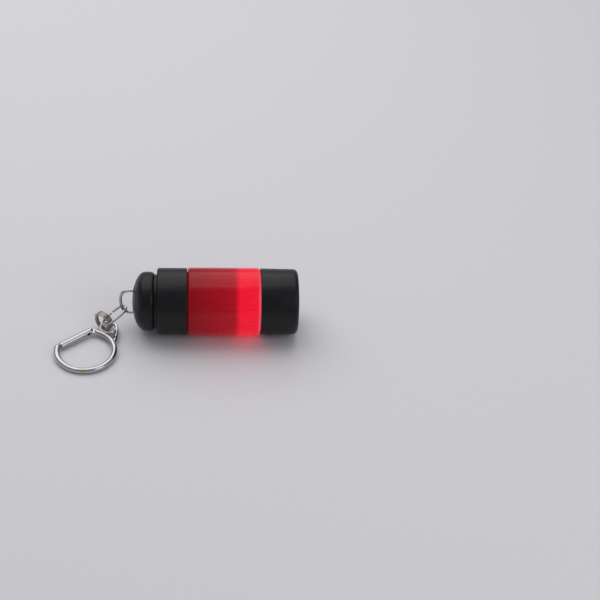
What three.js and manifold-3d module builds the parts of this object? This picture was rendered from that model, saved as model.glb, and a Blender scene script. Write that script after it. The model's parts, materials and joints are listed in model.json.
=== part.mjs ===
// Keychain flashlight with a USB plug under its tail cap, lying on its side.
// Millimetres, +Z up. The torch's axis runs along X with the head towards +X.
// The origin is on the lowest flat of the barrel, midway along it.
import * as THREE from "three";
import { mergeVertices } from "three/addons/utils/BufferGeometryUtils.js";
import Module from "manifold-3d";

const wasm = await Module();
wasm.setup();

// ---------------------------------------------------------------- driving sizes
const FACETS = 40; // sides of every outer turned shell
const INNER_FACETS = 32; // sides of turned pieces that are hidden
const RING_FACETS = 24; // sides of small rings
const GAP = 0.2; // seam between pieces that meet end to end
const REST = 0.1; // gap between pieces that are glued, soldered or clamped together
const SLIP = 0.15; // radial clearance of a piece that slides or turns in another

// barrel: a thick red tube with a short collar at each end
const BARREL_R = 11.5;
const BARREL_LEN = 24.3;
const BARREL_ROUND = 0.9; // edge radius at both ends of the barrel
const BARREL_PROUD = 0.15; // how far it stands proud of the cap and the head
const TAIL_COLLAR_LEN = 2.4;
const HEAD_COLLAR_LEN = 4.6;
const COLLAR_WALL = 1.15;
const END_WALL = 1.05; // wall of the cap's sleeve and of the head over the collars

// o-rings in a groove of each collar
const ORING_WIRE_R = 0.55;
const ORING_PROUD = 0.06; // how far an o-ring stands out of its collar
const ORING_STAND = 0.08; // how far its bore stands off the groove floor
const GROOVE_SIDE = 0.12; // play on each side of the ring in its groove

// tail cap: knob, neck groove and sleeve
const SLEEVE_LEN = 10.25;
const SLEEVE_EDGE = 0.8; // rounding of the sleeve's rear edge
const KNOB_STEP = 1.3; // the knob's radius is this much less than the sleeve's
const KNOB_CROWN = 4.4; // depth of the knob's domed end
const NECK_WALL = 2.4;
const NECK_SLOPE = 1.6; // length of the slope from knob to neck floor
const NECK_FLAT = 0.9; // length of the neck's floor
const CAP_END_WALL = 0.95; // between the plug's well and the ring slot
const WELL_PLAY = 0.34; // round the plug's corners
const MOUTH_EDGE = 0.3; // chamfer at the cap's mouth and at the head's rear edge

// ring slot and its cross pin in the knob
const SLOT_SIDE_PLAY = 0.7;
const SLOT_END_PLAY = 1.0;
const SWING_PLAY = 0.65; // behind the ring link, for its swing
const PIN_R = 0.6;
const PIN_DEPTH = 1.25; // pin axis below the knob's end face
const PIN_SEAT = 2.3; // length of the pin in the knob on each side of the slot

// head: turned shell that holds the optics and turns on the front collar
const HEAD_LEN = 12.75;
const HEAD_TAPER = 0.25; // loss of radius from the rear edge to the front corner
const HEAD_CORNER = 2.4;
const HEAD_LIP = 0.8; // thickness of the rim in front of the lens
const LIP_OVERLAP = 1.0; // how far the rim reaches over the lens
const LENS_THICK = 1.3;
const GASKET_THICK = 0.4;
const REFLECTOR_LEN = 6.2;
const REFLECTOR_REAR_R = 5.2;
const REFLECTOR_FLANGE = 0.6;
const RETAINER_LEN = 1.3;
const RETAINER_WALL = 0.7;
const COLLAR_PLAY = 0.8; // from the barrel's front collar to the step in the head

// core: two half shells with the plug, the charge board and the cell
const CORE_LEN = 16.95;
const CORE_WALL = 1.0;
const CORE_END_PLATE = 1.2;
const PLUG_REACH = 11.5; // how far the plug stands out of the core
const PLUG_INSIDE = 7.0; // how far it runs into the core
const PLUG_WIDTH = 12.0;
const PLUG_HEIGHT = 4.5;
const PLUG_WALL = 0.3;
const LATCH_WINDOW = 2.4; // side of the two square holes in the plug's shell
const LATCH_REACH = 5.0; // from the plug's tip to those holes
const LATCH_SPREAD = 2.9; // from the plug's middle line to their middle
const TONGUE_THICK = 1.9;
const TONGUE_TOP = 0.1; // height of the tongue's contact side above the axis
const TONGUE_BASE = 9.2; // from the plug's tip to the block behind the tongue
const CONTACT_COUNT = 4;
const CONTACT_PITCH = 2.3;
const CONTACT_WIDTH = 1.0;
const CONTACT_LEN = 7.4;
const CONTACT_THICK = 0.15;
const CONTACT_START = 1.2; // from the plug's tip
const BOARD_THICK = 1.0;
const CHIP_SIDE = 3.0;
const CHIP_HEIGHT = 1.1;
const COIL_HEIGHT = 1.4;
const CELL_R = 6.0;
const CELL_LEN = 5.4;
const CELL_STANDOFF = 0.3; // from the plug's rear to the cell's rear tab
const PART_INSET = 1.0; // from the board's rear edge to the parts under it
const PART_SPREAD = 1.2; // between those two parts
const TAB_THICK = 0.2;
const TAB_WIDTH = 3.0;
const TAB_SHORT = 1.0; // how far a tab stops short of the cell's rim

// led module: board, emitter and the clear tube that the head pushes on
const LED_STANDOFF = 1.0; // from the core's front face to the board
const LED_BOARD_THICK = 1.0;
const LED_SIDE = 3.5;
const LED_THICK = 0.7;
const LED_DOME_R = 1.25;
const TUBE_WALL = 0.9;
const SPRING_WIRE_R = 0.25;
const SPRING_R = 2.6;
const SPRING_TURNS = 3;
const SPRING_WELL = 3.0; // depth of the spring's seat in the core

// key chain: ring link on the pin, small link, split ring
const LINK_WIRE_R = 0.5;
const LINK_HALF_HEIGHT = 4.5;
const LINK_HALF_LEN = 3.25;
const LINK_SQUARENESS = 2.6; // 2 is an ellipse, more is squarer
const LINK_JOINT = 5; // degrees from its front to each end of its wire
const LINK_SAG = 5; // degrees that the link hangs below the axis
const LINK_HOLD_AT = 212; // degrees round the ring link where the small link holds it
const SMALL_WIRE_R = 0.42;
const SMALL_HALF_WIDTH = 1.9;
const SMALL_SQUARENESS = 2.5;
const SMALL_END = 4.8; // length of each rounded end; a longer link is straight between them
const SMALL_JOINT = 4; // degrees from the middle of its side to each end of its wire
const HOLD_PLAY = 0.25; // between a link's wire and what it holds
const HOLD_REACH = 5.35; // least level distance between the two places where the small link holds
const HOLD_STEEPEST = 30; // degrees: a higher ring link takes the small link further out
const HOLD_HEADING = 209.5; // degrees from X to that line, seen from above
const SPLIT_WIRE_R = 0.4;
const SPLIT_R = 3.1;
const SPLIT_PITCH = 0.86; // from one turn to the next
const SPLIT_TURNS = 2.6;
const SPLIT_START = 40; // degrees round the ring where its wire starts
const SPLIT_HEADING = 140; // degrees from X to the ring's plane, seen from above
const SPLIT_HOLD_AT = 148; // degrees round the ring where the small link holds it
const SPLIT_LIFT = 0.2; // of the split ring over the floor
const SPLIT_PLAY = 0.6; // between the small link's end and the split ring's turns

// hook and gate
const HOOK_WIRE_R = 1.0;
const HOOK_HALF_WIDTH = 9.6;
const HOOK_HALF_LEN = 10.3;
const HOOK_NOSE = 172; // where the hook's wire starts, degrees round its oval
const HOOK_PIVOT = 84; // where the gate's pin stands, degrees round the oval
const HOOK_EYE_AT = 59; // where the eye is fused on, degrees round the oval
const HOOK_NECK_AT = 20; // where the wire from the eye's side runs in, degrees round the oval
const EYE_R = 2.8;
const EYE_WIRE_R = 0.65;
const EYE_INSET = 0.6; // how far the split ring's middle lies inside the eye's rim
const EYE_PLAY = 0.2; // between the eye and the split ring under it
const LUG_R = 1.25;
const LUG_THICK = 0.9;
const LUG_SINK = 3; // degrees that the lug's tongue runs into the wire
const FORK_PLAY = 0.12; // between the gate's fork and each side of the lug
const GATE_R = 1.15;
const GATE_PIN_R = 0.4;
const GATE_FORK = 1.9; // depth of the fork's slot beyond the pin
const GATE_BORE_R = 0.65; // hole for the gate's spring
const GATE_BORE_LEN = 4.5;
const GATE_SPRING_WIRE_R = 0.13;
const GATE_SPRING_TURNS = 5;

// ---------------------------------------------------------------- worked out
const rad = THREE.MathUtils.degToRad;
const AXIS_Z = BARREL_R * Math.cos(Math.PI / FACETS); // the barrel rests on a flat
const END_R = BARREL_R - BARREL_PROUD;
const END_BORE_R = END_R - END_WALL;
const COLLAR_R = END_BORE_R - SLIP;
const BORE_R = COLLAR_R - COLLAR_WALL;
const SEATED_R = BORE_R - SLIP; // pieces that fit in the barrel's or the head's bore
const CORE_INNER_R = SEATED_R - CORE_WALL;

const BARREL_END = BARREL_LEN / 2;
const TAIL_FACE = -BARREL_END - TAIL_COLLAR_LEN; // end of the tail collar and of the core
const COLLAR_TIP = BARREL_END + HEAD_COLLAR_LEN;
const CORE_FRONT = TAIL_FACE + CORE_LEN;
const HEAD_REAR = BARREL_END + GAP;
const HEAD_FRONT = HEAD_REAR + HEAD_LEN;

// along the cap from its mouth: the collar and the plug, an end wall, the ring slot
const CAP_MOUTH = -BARREL_END - GAP;
const PLUG_TIP = TAIL_FACE - PLUG_REACH;
const WELL_FLOOR = PLUG_TIP - GAP;
const WELL_R = Math.hypot(PLUG_WIDTH, PLUG_HEIGHT) / 2 + WELL_PLAY;
const SLOT_FLOOR = WELL_FLOOR - CAP_END_WALL;
const LINK_BEHIND_PIN = PIN_R + HOLD_PLAY + LINK_WIRE_R; // from pin axis to the wire behind it
const PIN_X = SLOT_FLOOR - SWING_PLAY - LINK_WIRE_R - LINK_BEHIND_PIN;
const CAP_TAIL = PIN_X - PIN_DEPTH;
const SLOT_WIDTH = 2 * (LINK_WIRE_R + SLOT_SIDE_PLAY);
const SLOT_HALF_HEIGHT = LINK_HALF_HEIGHT + LINK_WIRE_R + SLOT_END_PLAY;
const PIN_LEN = SLOT_WIDTH + 2 * PIN_SEAT;

// ---------------------------------------------------------------- materials
const finish = (color, roughness, metalness = 0, opacity = 1) =>
  new THREE.MeshStandardMaterial({ color, roughness, metalness, opacity, transparent: opacity < 1 });

const blackPlastic = () => finish(0x0b0b0d, 0.45);
const redPlastic = () => finish(0xc8102e, 0.12, 0, 0.6);
const clearPlastic = () => finish(0xe8f0f4, 0.05, 0, 0.3);
const whitePlastic = () => finish(0xd9d9d4, 0.5);
const chrome = () => finish(0xd8d8dc, 0.15, 1);
const steel = () => finish(0xb8bcc2, 0.3, 1);
const gold = () => finish(0xd9a441, 0.25, 1);
const rubber = () => finish(0x161616, 0.8);
const boardGreen = () => finish(0x14532d, 0.4);
const chipBlack = () => finish(0x1a1a1c, 0.5);
const phosphor = () => finish(0xf4e27a, 0.4);

// ---------------------------------------------------------------- shape helpers

// A closed profile of [x, radius] points turned about the X axis, a flat downwards.
function turned(profile, sides = INNER_FACETS) {
  const points = profile.map(([x, r]) => new THREE.Vector2(r, x));
  const geometry = new THREE.LatheGeometry(points, sides, Math.PI / sides, 2 * Math.PI);
  return geometry.rotateZ(-Math.PI / 2);
}

// Points of an arc about (x, r), from one angle to another in degrees, ends included.
function arc(x, r, radius, from, to, steps) {
  return Array.from({ length: steps + 1 }, (_, i) => {
    const angle = rad(from + ((to - from) * i) / steps);
    return [x + radius * Math.cos(angle), r + radius * Math.sin(angle)];
  });
}

// A plain ring between two radii and two places along X.
function ring(x0, x1, inner, outer, sides = INNER_FACETS) {
  return turned([[x0, inner], [x0, outer], [x1, outer], [x1, inner], [x0, inner]], sides);
}

// A plain disc or rod about the X axis.
function disc(x0, x1, radius, sides = INNER_FACETS) {
  return turned([[x0, 0], [x0, radius], [x1, radius], [x1, 0]], sides);
}

// A ring of round section about the X axis.
function roundRing(x, radius, section, around = 8) {
  return turned(arc(x, radius, section, 180, -180, around), RING_FACETS);
}

// A box between two corners.
function block(low, high) {
  const size = low.map((v, i) => high[i] - v);
  const mid = low.map((v, i) => (v + high[i]) / 2);
  return new THREE.BoxGeometry(...size).translate(...mid);
}

// A round wire along a curve.
function wire(curve, radius, steps, sides = 8) {
  const section = new THREE.Shape(
    Array.from({ length: sides }, (_, i) => {
      const angle = (2 * Math.PI * (i + 0.5)) / sides;
      return new THREE.Vector2(radius * Math.cos(angle), radius * Math.sin(angle));
    }),
  );
  return new THREE.ExtrudeGeometry(section, { steps, extrudePath: curve, bevelEnabled: false });
}

// A smooth curve through the points that a function of 0 to 1 gives.
function curveOf(point, count) {
  const points = Array.from({ length: count + 1 }, (_, i) => new THREE.Vector3(...point(i / count)));
  return new THREE.CatmullRomCurve3(points);
}

function solid(geometry) {
  const plain = geometry.clone();
  plain.deleteAttribute("normal");
  plain.deleteAttribute("uv");
  const merged = mergeVertices(plain, 1e-4);
  return new wasm.Manifold(
    new wasm.Mesh({
      numProp: 3,
      vertProperties: new Float32Array(merged.attributes.position.array),
      triVerts: new Uint32Array(merged.index.array),
    }),
  );
}

function geometryOf(body) {
  const mesh = body.getMesh();
  const geometry = new THREE.BufferGeometry();
  geometry.setAttribute("position", new THREE.BufferAttribute(new Float32Array(mesh.vertProperties), 3));
  geometry.setIndex(Array.from(mesh.triVerts));
  geometry.computeVertexNormals();
  return geometry;
}

const cut = (geometry, ...tools) =>
  geometryOf(tools.reduce((body, tool) => body.subtract(solid(tool)), solid(geometry)));
const join = (geometry, ...others) =>
  geometryOf(others.reduce((body, other) => body.add(solid(other)), solid(geometry)));
const keep = (geometry, region) => geometryOf(solid(geometry).intersect(solid(region)));

function add(group, name, geometry, material) {
  const mesh = new THREE.Mesh(geometry, material);
  mesh.name = name;
  group.add(mesh);
  return mesh;
}

const object = new THREE.Group();
const torch = new THREE.Group(); // everything on the torch's axis
torch.position.z = AXIS_Z;
object.add(torch);

// ---------------------------------------------------------------- barrel
const ORING_BORE_R = COLLAR_R + ORING_PROUD - 2 * ORING_WIRE_R;
const GROOVE_R = ORING_BORE_R - ORING_STAND;
const GROOVE_HALF = ORING_WIRE_R + GROOVE_SIDE;
const TAIL_ORING_X = -BARREL_END - TAIL_COLLAR_LEN / 2;
const HEAD_ORING_X = BARREL_END + HEAD_COLLAR_LEN / 2;

function collarGroove(x) {
  return [
    [x - GROOVE_HALF, COLLAR_R],
    [x - GROOVE_HALF, GROOVE_R],
    [x + GROOVE_HALF, GROOVE_R],
    [x + GROOVE_HALF, COLLAR_R],
  ];
}

function barrelShape() {
  const edge = BARREL_R - BARREL_ROUND;
  return turned(
    [
      [TAIL_FACE, BORE_R],
      [TAIL_FACE, COLLAR_R],
      ...collarGroove(TAIL_ORING_X),
      [-BARREL_END, COLLAR_R],
      ...arc(-BARREL_END + BARREL_ROUND, edge, BARREL_ROUND, 180, 90, 3),
      ...arc(BARREL_END - BARREL_ROUND, edge, BARREL_ROUND, 90, 0, 3),
      [BARREL_END, COLLAR_R],
      ...collarGroove(HEAD_ORING_X),
      [COLLAR_TIP, COLLAR_R],
      [COLLAR_TIP, BORE_R],
      [TAIL_FACE, BORE_R],
    ],
    FACETS,
  );
}

add(torch, "barrel", barrelShape(), redPlastic());
const ORING_R = ORING_BORE_R + ORING_WIRE_R;
add(torch, "cap_o_ring", roundRing(TAIL_ORING_X, ORING_R, ORING_WIRE_R, 6), rubber());
add(torch, "head_o_ring", roundRing(HEAD_ORING_X, ORING_R, ORING_WIRE_R, 6), rubber());

// ---------------------------------------------------------------- core
const CORE_CAVITY = [TAIL_FACE + CORE_END_PLATE, CORE_FRONT - CORE_END_PLATE];
const CUT = 1; // how far a cutting solid runs past the face that it opens

function coreShell() {
  const plugHole = block(
    [TAIL_FACE - CUT, -PLUG_WIDTH / 2 - SLIP, -PLUG_HEIGHT / 2 - SLIP],
    [CORE_CAVITY[0] + CUT, PLUG_WIDTH / 2 + SLIP, PLUG_HEIGHT / 2 + SLIP],
  );
  const springHole = disc(CORE_CAVITY[1] - CUT, CORE_FRONT + CUT, SPRING_R + 2 * SPRING_WIRE_R + GAP, 24);
  return cut(disc(TAIL_FACE, CORE_FRONT, SEATED_R), disc(...CORE_CAVITY, CORE_INNER_R), plugHole, springHole);
}

// Everything above the axis, or below it, less half the parting gap.
function halfSpace(side) {
  const heights = [(side * GAP) / 2, side * BARREL_R].sort((a, b) => a - b);
  return block([TAIL_FACE - CUT, -BARREL_R, heights[0]], [CORE_FRONT + CUT, BARREL_R, heights[1]]);
}

add(torch, "core_upper", keep(coreShell(), halfSpace(1)), whitePlastic());
add(torch, "core_lower", keep(coreShell(), halfSpace(-1)), whitePlastic());

// ---------------------------------------------------------------- USB plug
const PLUG_REAR = TAIL_FACE + PLUG_INSIDE;
const PLUG_HALF = [PLUG_WIDTH / 2, PLUG_HEIGHT / 2];
const TONGUE_HALF = PLUG_HALF[0] - PLUG_WALL - SLIP;
const BASE_HALF = PLUG_HALF[1] - PLUG_WALL - REST;

function plugShell() {
  const [half, rise] = PLUG_HALF;
  const outer = block([PLUG_TIP, -half, -rise], [PLUG_REAR, half, rise]);
  const inner = block(
    [PLUG_TIP - CUT, -half + PLUG_WALL, -rise + PLUG_WALL],
    [PLUG_REAR + CUT, half - PLUG_WALL, rise - PLUG_WALL],
  );
  const windows = [-LATCH_SPREAD, LATCH_SPREAD].map((y) =>
    block(
      [PLUG_TIP + LATCH_REACH, y - LATCH_WINDOW / 2, 0],
      [PLUG_TIP + LATCH_REACH + LATCH_WINDOW, y + LATCH_WINDOW / 2, PLUG_HEIGHT],
    ),
  );
  return cut(outer, inner, ...windows);
}

function plugTongue() {
  const bar = block(
    [PLUG_TIP + 2 * GAP, -TONGUE_HALF, TONGUE_TOP - TONGUE_THICK],
    [PLUG_REAR, TONGUE_HALF, TONGUE_TOP],
  );
  const base = block([PLUG_TIP + TONGUE_BASE, -TONGUE_HALF, -BASE_HALF], [PLUG_REAR, TONGUE_HALF, BASE_HALF]);
  return join(bar, base);
}

function plugContact(i) {
  const y = (i - (CONTACT_COUNT - 1) / 2) * CONTACT_PITCH;
  const x = PLUG_TIP + CONTACT_START;
  const z = TONGUE_TOP + REST / 2;
  return block([x, y - CONTACT_WIDTH / 2, z], [x + CONTACT_LEN, y + CONTACT_WIDTH / 2, z + CONTACT_THICK]);
}

add(torch, "usb_shell", plugShell(), steel());
add(torch, "usb_tongue", plugTongue(), whitePlastic());
for (let i = 0; i < CONTACT_COUNT; i += 1) {
  add(torch, `usb_contact_${i + 1}`, plugContact(i), gold());
}

// ---------------------------------------------------------------- charge board and cell
const BOARD_TOP = -PLUG_HALF[1] - REST;
const BOARD_BOTTOM = BOARD_TOP - BOARD_THICK;
const BOARD_HALF = Math.sqrt(CORE_INNER_R ** 2 - BOARD_BOTTOM ** 2) - 2 * GAP; // to the core's wall
const BOARD_SPAN = [CORE_CAVITY[0] + GAP, PLUG_REAR - REST];
const CHIP_TOP = BOARD_BOTTOM - REST;
const CELL_REAR = PLUG_REAR + CELL_STANDOFF + TAB_THICK + REST;
const CELL_FRONT = CELL_REAR + CELL_LEN;

// A part under the board, on one side of its middle line.
function underBoard(side, height) {
  const x = BOARD_SPAN[0] + PART_INSET;
  const inner = side * (PART_SPREAD / 2);
  const ys = [inner, inner + side * CHIP_SIDE].sort((a, b) => a - b);
  return block([x, ys[0], CHIP_TOP - height], [x + CHIP_SIDE, ys[1], CHIP_TOP]);
}

function cellTab(x, side) {
  const ends = [0, side * (CELL_R - TAB_SHORT)].sort((a, b) => a - b);
  return block([x, -TAB_WIDTH / 2, ends[0]], [x + TAB_THICK, TAB_WIDTH / 2, ends[1]]);
}

const boardShape = block(
  [BOARD_SPAN[0], -BOARD_HALF, BOARD_BOTTOM],
  [BOARD_SPAN[1], BOARD_HALF, BOARD_TOP],
);
add(torch, "charge_board", boardShape, boardGreen());
add(torch, "charge_chip", underBoard(-1, CHIP_HEIGHT), chipBlack());
add(torch, "charge_coil", underBoard(1, COIL_HEIGHT), chipBlack());
add(torch, "battery_cell", disc(CELL_REAR, CELL_FRONT, CELL_R), steel());
add(torch, "cell_tab_rear", cellTab(CELL_REAR - REST - TAB_THICK, -1), chrome());
add(torch, "cell_tab_front", cellTab(CELL_FRONT + REST, 1), chrome());

// ---------------------------------------------------------------- led module
const LED_BOARD_X = CORE_FRONT + LED_STANDOFF;
const LED_FACE = LED_BOARD_X + LED_BOARD_THICK;
const LED_X = LED_FACE + REST / 2;
const DOME_X = LED_X + LED_THICK + REST / 2;
const LENS_FRONT = HEAD_FRONT - HEAD_LIP - REST;
const LENS_REAR = LENS_FRONT - LENS_THICK;
const GASKET_REAR = LENS_REAR - REST - GASKET_THICK;
const REFLECTOR_FRONT = GASKET_REAR - REST;
const REFLECTOR_REAR = REFLECTOR_FRONT - REFLECTOR_LEN;

function contactSpring() {
  const start = Math.max(CORE_FRONT - SPRING_WELL, CELL_FRONT + TAB_THICK + 2 * GAP) + SPRING_WIRE_R;
  const end = LED_BOARD_X - SPRING_WIRE_R - REST;
  const helix = curveOf((t) => {
    const angle = 2 * Math.PI * SPRING_TURNS * t;
    return [start + (end - start) * t, SPRING_R * Math.cos(angle), SPRING_R * Math.sin(angle)];
  }, 12 * SPRING_TURNS);
  return wire(helix, SPRING_WIRE_R, 12 * SPRING_TURNS, 6);
}

const emitter = block([LED_X, -LED_SIDE / 2, -LED_SIDE / 2], [LED_X + LED_THICK, LED_SIDE / 2, LED_SIDE / 2]);
const dome = turned([[DOME_X, 0], ...arc(DOME_X, 0, LED_DOME_R, 90, 15, 4), [DOME_X + LED_DOME_R, 0]], 16);
const tube = ring(LED_FACE + REST, REFLECTOR_REAR - REST, SEATED_R - TUBE_WALL, SEATED_R);
add(torch, "led_board", disc(LED_BOARD_X, LED_FACE, SEATED_R), whitePlastic());
add(torch, "led_emitter", emitter, phosphor());
add(torch, "led_dome", dome, clearPlastic());
add(torch, "light_tube", tube, clearPlastic());
add(torch, "contact_spring", contactSpring(), steel());

// ---------------------------------------------------------------- head
const WINDOW_R = BORE_R - LIP_OVERLAP;
const REFLECTOR_FRONT_R = WINDOW_R - GAP;
const RETAINER_BORE_R = SEATED_R - RETAINER_WALL;

function headShape() {
  const cornerX = HEAD_FRONT - HEAD_CORNER;
  const cornerR = END_R - HEAD_TAPER - HEAD_CORNER;
  const step = COLLAR_TIP + COLLAR_PLAY; // where the wide rear bore ends
  return turned(
    [
      [HEAD_REAR, END_BORE_R],
      [HEAD_REAR, END_R - MOUTH_EDGE],
      [HEAD_REAR + MOUTH_EDGE, END_R],
      ...arc(cornerX, cornerR, HEAD_CORNER, 90, 10, 5),
      [HEAD_FRONT, cornerR],
      [HEAD_FRONT, WINDOW_R],
      [HEAD_FRONT - HEAD_LIP, WINDOW_R],
      [HEAD_FRONT - HEAD_LIP, BORE_R],
      [step, BORE_R],
      [step, END_BORE_R],
      [HEAD_REAR, END_BORE_R],
    ],
    FACETS,
  );
}

function reflectorShape() {
  const bodyR = RETAINER_BORE_R - 2 * SLIP;
  const flangeRear = REFLECTOR_FRONT - REFLECTOR_FLANGE;
  const bowl = Array.from({ length: 6 }, (_, i) => {
    const t = i / 5;
    const r = REFLECTOR_FRONT_R - (REFLECTOR_FRONT_R - REFLECTOR_REAR_R) * t ** 2;
    return [REFLECTOR_FRONT - REFLECTOR_LEN * t, r];
  });
  return turned([
    [REFLECTOR_REAR, REFLECTOR_REAR_R],
    [REFLECTOR_REAR, bodyR],
    [flangeRear, bodyR],
    [flangeRear, SEATED_R],
    [REFLECTOR_FRONT, SEATED_R],
    ...bowl,
  ]);
}

function retainerShape() {
  const front = REFLECTOR_FRONT - REFLECTOR_FLANGE - REST;
  return ring(front - RETAINER_LEN, front, RETAINER_BORE_R, SEATED_R);
}

add(torch, "head_shell", headShape(), blackPlastic());
add(torch, "lens", disc(LENS_REAR, LENS_FRONT, SEATED_R), clearPlastic());
add(torch, "lens_gasket", ring(GASKET_REAR, LENS_REAR - REST, WINDOW_R, SEATED_R), rubber());
add(torch, "reflector", reflectorShape(), chrome());
add(torch, "retaining_ring", retainerShape(), blackPlastic());

// ---------------------------------------------------------------- tail cap
const SLEEVE_REAR = CAP_MOUTH - SLEEVE_LEN;
const SLEEVE_BORE_END = SLEEVE_REAR + END_WALL;
const KNOB_R = END_R - KNOB_STEP;
const NECK_R = WELL_R + NECK_WALL;

// A quarter of an ellipse that falls from the knob to the neck's floor.
function neckSlope(x) {
  const fall = KNOB_R - NECK_R;
  return [75, 45, 15].map((degrees) => [
    x + NECK_SLOPE * Math.cos(rad(degrees)),
    NECK_R + fall * Math.sin(rad(degrees)),
  ]);
}

function capShape() {
  const knobFront = SLEEVE_REAR - NECK_SLOPE - NECK_FLAT;
  const crown = [0, 20, 35, 50, 62, 72, 81, 90].map((degrees) => [
    CAP_TAIL + KNOB_CROWN * (1 - Math.cos(rad(degrees))),
    KNOB_R * Math.sin(rad(degrees)),
  ]);
  const body = turned(
    [
      ...crown,
      [knobFront, KNOB_R],
      ...neckSlope(knobFront),
      [SLEEVE_REAR - NECK_FLAT / 2, NECK_R],
      [SLEEVE_REAR, NECK_R],
      ...arc(SLEEVE_REAR + SLEEVE_EDGE, END_R - SLEEVE_EDGE, SLEEVE_EDGE, 180, 90, 3),
      [CAP_MOUTH - MOUTH_EDGE, END_R],
      [CAP_MOUTH, END_R - MOUTH_EDGE],
      [CAP_MOUTH, END_BORE_R],
      [SLEEVE_BORE_END, END_BORE_R],
      [SLEEVE_BORE_END, WELL_R],
      [WELL_FLOOR, WELL_R],
      [WELL_FLOOR, 0],
    ],
    FACETS,
  );
  const slot = block(
    [CAP_TAIL - CUT, -SLOT_WIDTH / 2, -SLOT_HALF_HEIGHT],
    [SLOT_FLOOR, SLOT_WIDTH / 2, SLOT_HALF_HEIGHT],
  );
  return cut(body, slot, crossPin(PIN_R + REST, PIN_LEN + 2 * SLIP));
}

function crossPin(radius, length) {
  return new THREE.CylinderGeometry(radius, radius, length, 12).translate(PIN_X, 0, 0);
}

add(torch, "tail_cap", capShape(), blackPlastic());
add(torch, "ring_pin", crossPin(PIN_R, PIN_LEN), steel());

// ---------------------------------------------------------------- ring link
// A squarish bent-wire link with a butt joint behind the pin, standing in the slot.
const UP = new THREE.Vector3(0, 0, 1);
const linkPivot = new THREE.Group();
linkPivot.position.set(PIN_X, 0, AXIS_Z);
linkPivot.rotation.y = -rad(LINK_SAG);
object.add(linkPivot);

// Cosine and sine bent into a rounded square: 2 leaves the circle as it is.
function squared(degrees, squareness) {
  const soft = (value) => Math.sign(value) * Math.abs(value) ** (2 / squareness);
  return [soft(Math.cos(rad(degrees))), soft(Math.sin(rad(degrees)))];
}

function onLink(degrees) {
  const [c, s] = squared(degrees, LINK_SQUARENESS);
  return new THREE.Vector3(LINK_BEHIND_PIN + LINK_HALF_LEN * (c - 1), 0, LINK_HALF_HEIGHT * s);
}

const ringLink = wire(curveOf((t) => onLink(LINK_JOINT + (360 - 2 * LINK_JOINT) * t), 36), LINK_WIRE_R, 40);
add(linkPivot, "ring_link", ringLink, steel());

// ---------------------------------------------------------------- chain layout
// From the ring link: the small link reaches out to the split ring, which stands on its edge.
linkPivot.updateMatrix();
const linkHold = onLink(LINK_HOLD_AT).applyMatrix4(linkPivot.matrix);
const level = (degrees) => new THREE.Vector3(Math.cos(rad(degrees)), Math.sin(rad(degrees)), 0);
const heading = level(SPLIT_HEADING);
const SPLIT_HEIGHT = SPLIT_R + SPLIT_WIRE_R + SPLIT_LIFT;
const fall = linkHold.z - SPLIT_HEIGHT - SPLIT_R * Math.sin(rad(SPLIT_HOLD_AT));
const splitCentre = linkHold
  .clone()
  .addScaledVector(level(HOLD_HEADING), Math.max(HOLD_REACH, fall / Math.tan(rad(HOLD_STEEPEST))))
  .addScaledVector(heading, -SPLIT_R * Math.cos(rad(SPLIT_HOLD_AT)))
  .setZ(SPLIT_HEIGHT);
const EYE_HEIGHT = SPLIT_LIFT + 2 * SPLIT_WIRE_R + EYE_PLAY + EYE_WIRE_R;
const eyeCentre = splitCentre.clone().addScaledVector(heading, EYE_INSET - EYE_R).setZ(EYE_HEIGHT);

// ---------------------------------------------------------------- split ring
// Two turns of wire that pass through the hook's eye.
function onSplit(degrees) {
  return splitCentre
    .clone()
    .addScaledVector(heading, SPLIT_R * Math.cos(rad(degrees)))
    .addScaledVector(UP, SPLIT_R * Math.sin(rad(degrees)));
}

function splitRing() {
  const side = new THREE.Vector3().crossVectors(heading, UP);
  const helix = curveOf((t) => {
    const drift = SPLIT_PITCH * SPLIT_TURNS * (t - 0.5);
    return onSplit(SPLIT_START + 360 * SPLIT_TURNS * t).addScaledVector(side, drift);
  }, 40);
  return wire(helix, SPLIT_WIRE_R, 44);
}

add(object, "split_ring", splitRing(), steel());

// ---------------------------------------------------------------- small link
// It joins the ring link to the split ring, lying across both.
function smallLink() {
  const splitHold = onSplit(SPLIT_HOLD_AT);
  const along = linkHold.clone().sub(splitHold).normalize();
  const across = UP.clone().cross(along).normalize();
  const nearReach = LINK_WIRE_R + HOLD_PLAY + SMALL_WIRE_R;
  const stack = ((Math.ceil(SPLIT_TURNS) - 1) * SPLIT_PITCH) / 2; // to the outer of its turns
  const farReach = SPLIT_WIRE_R + stack + SPLIT_PLAY + SMALL_WIRE_R;
  const near = linkHold.clone().addScaledVector(along, nearReach);
  const far = splitHold.clone().addScaledVector(along, -farReach);
  const half = near.distanceTo(far) / 2;
  const centre = near.clone().add(far).multiplyScalar(0.5);
  const loop = curveOf((t) => {
    const [c, s] = squared(90 + SMALL_JOINT + (360 - 2 * SMALL_JOINT) * t, SMALL_SQUARENESS);
    const reach = SMALL_END * c + (half - SMALL_END) * THREE.MathUtils.clamp(2 * c, -1, 1);
    return centre.clone().addScaledVector(along, reach).addScaledVector(across, SMALL_HALF_WIDTH * s);
  }, 28);
  return wire(loop, SMALL_WIRE_R, 32);
}

add(object, "small_link", smallLink(), steel());

// ---------------------------------------------------------------- hook
// A bent wire oval with a fused eye, lying on the floor. In its own frame the eye is the origin.
function fromOvalCentre(degrees) {
  const angle = rad(degrees);
  return new THREE.Vector3(HOOK_HALF_WIDTH * Math.cos(angle), HOOK_HALF_LEN * Math.sin(angle), 0);
}

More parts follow.
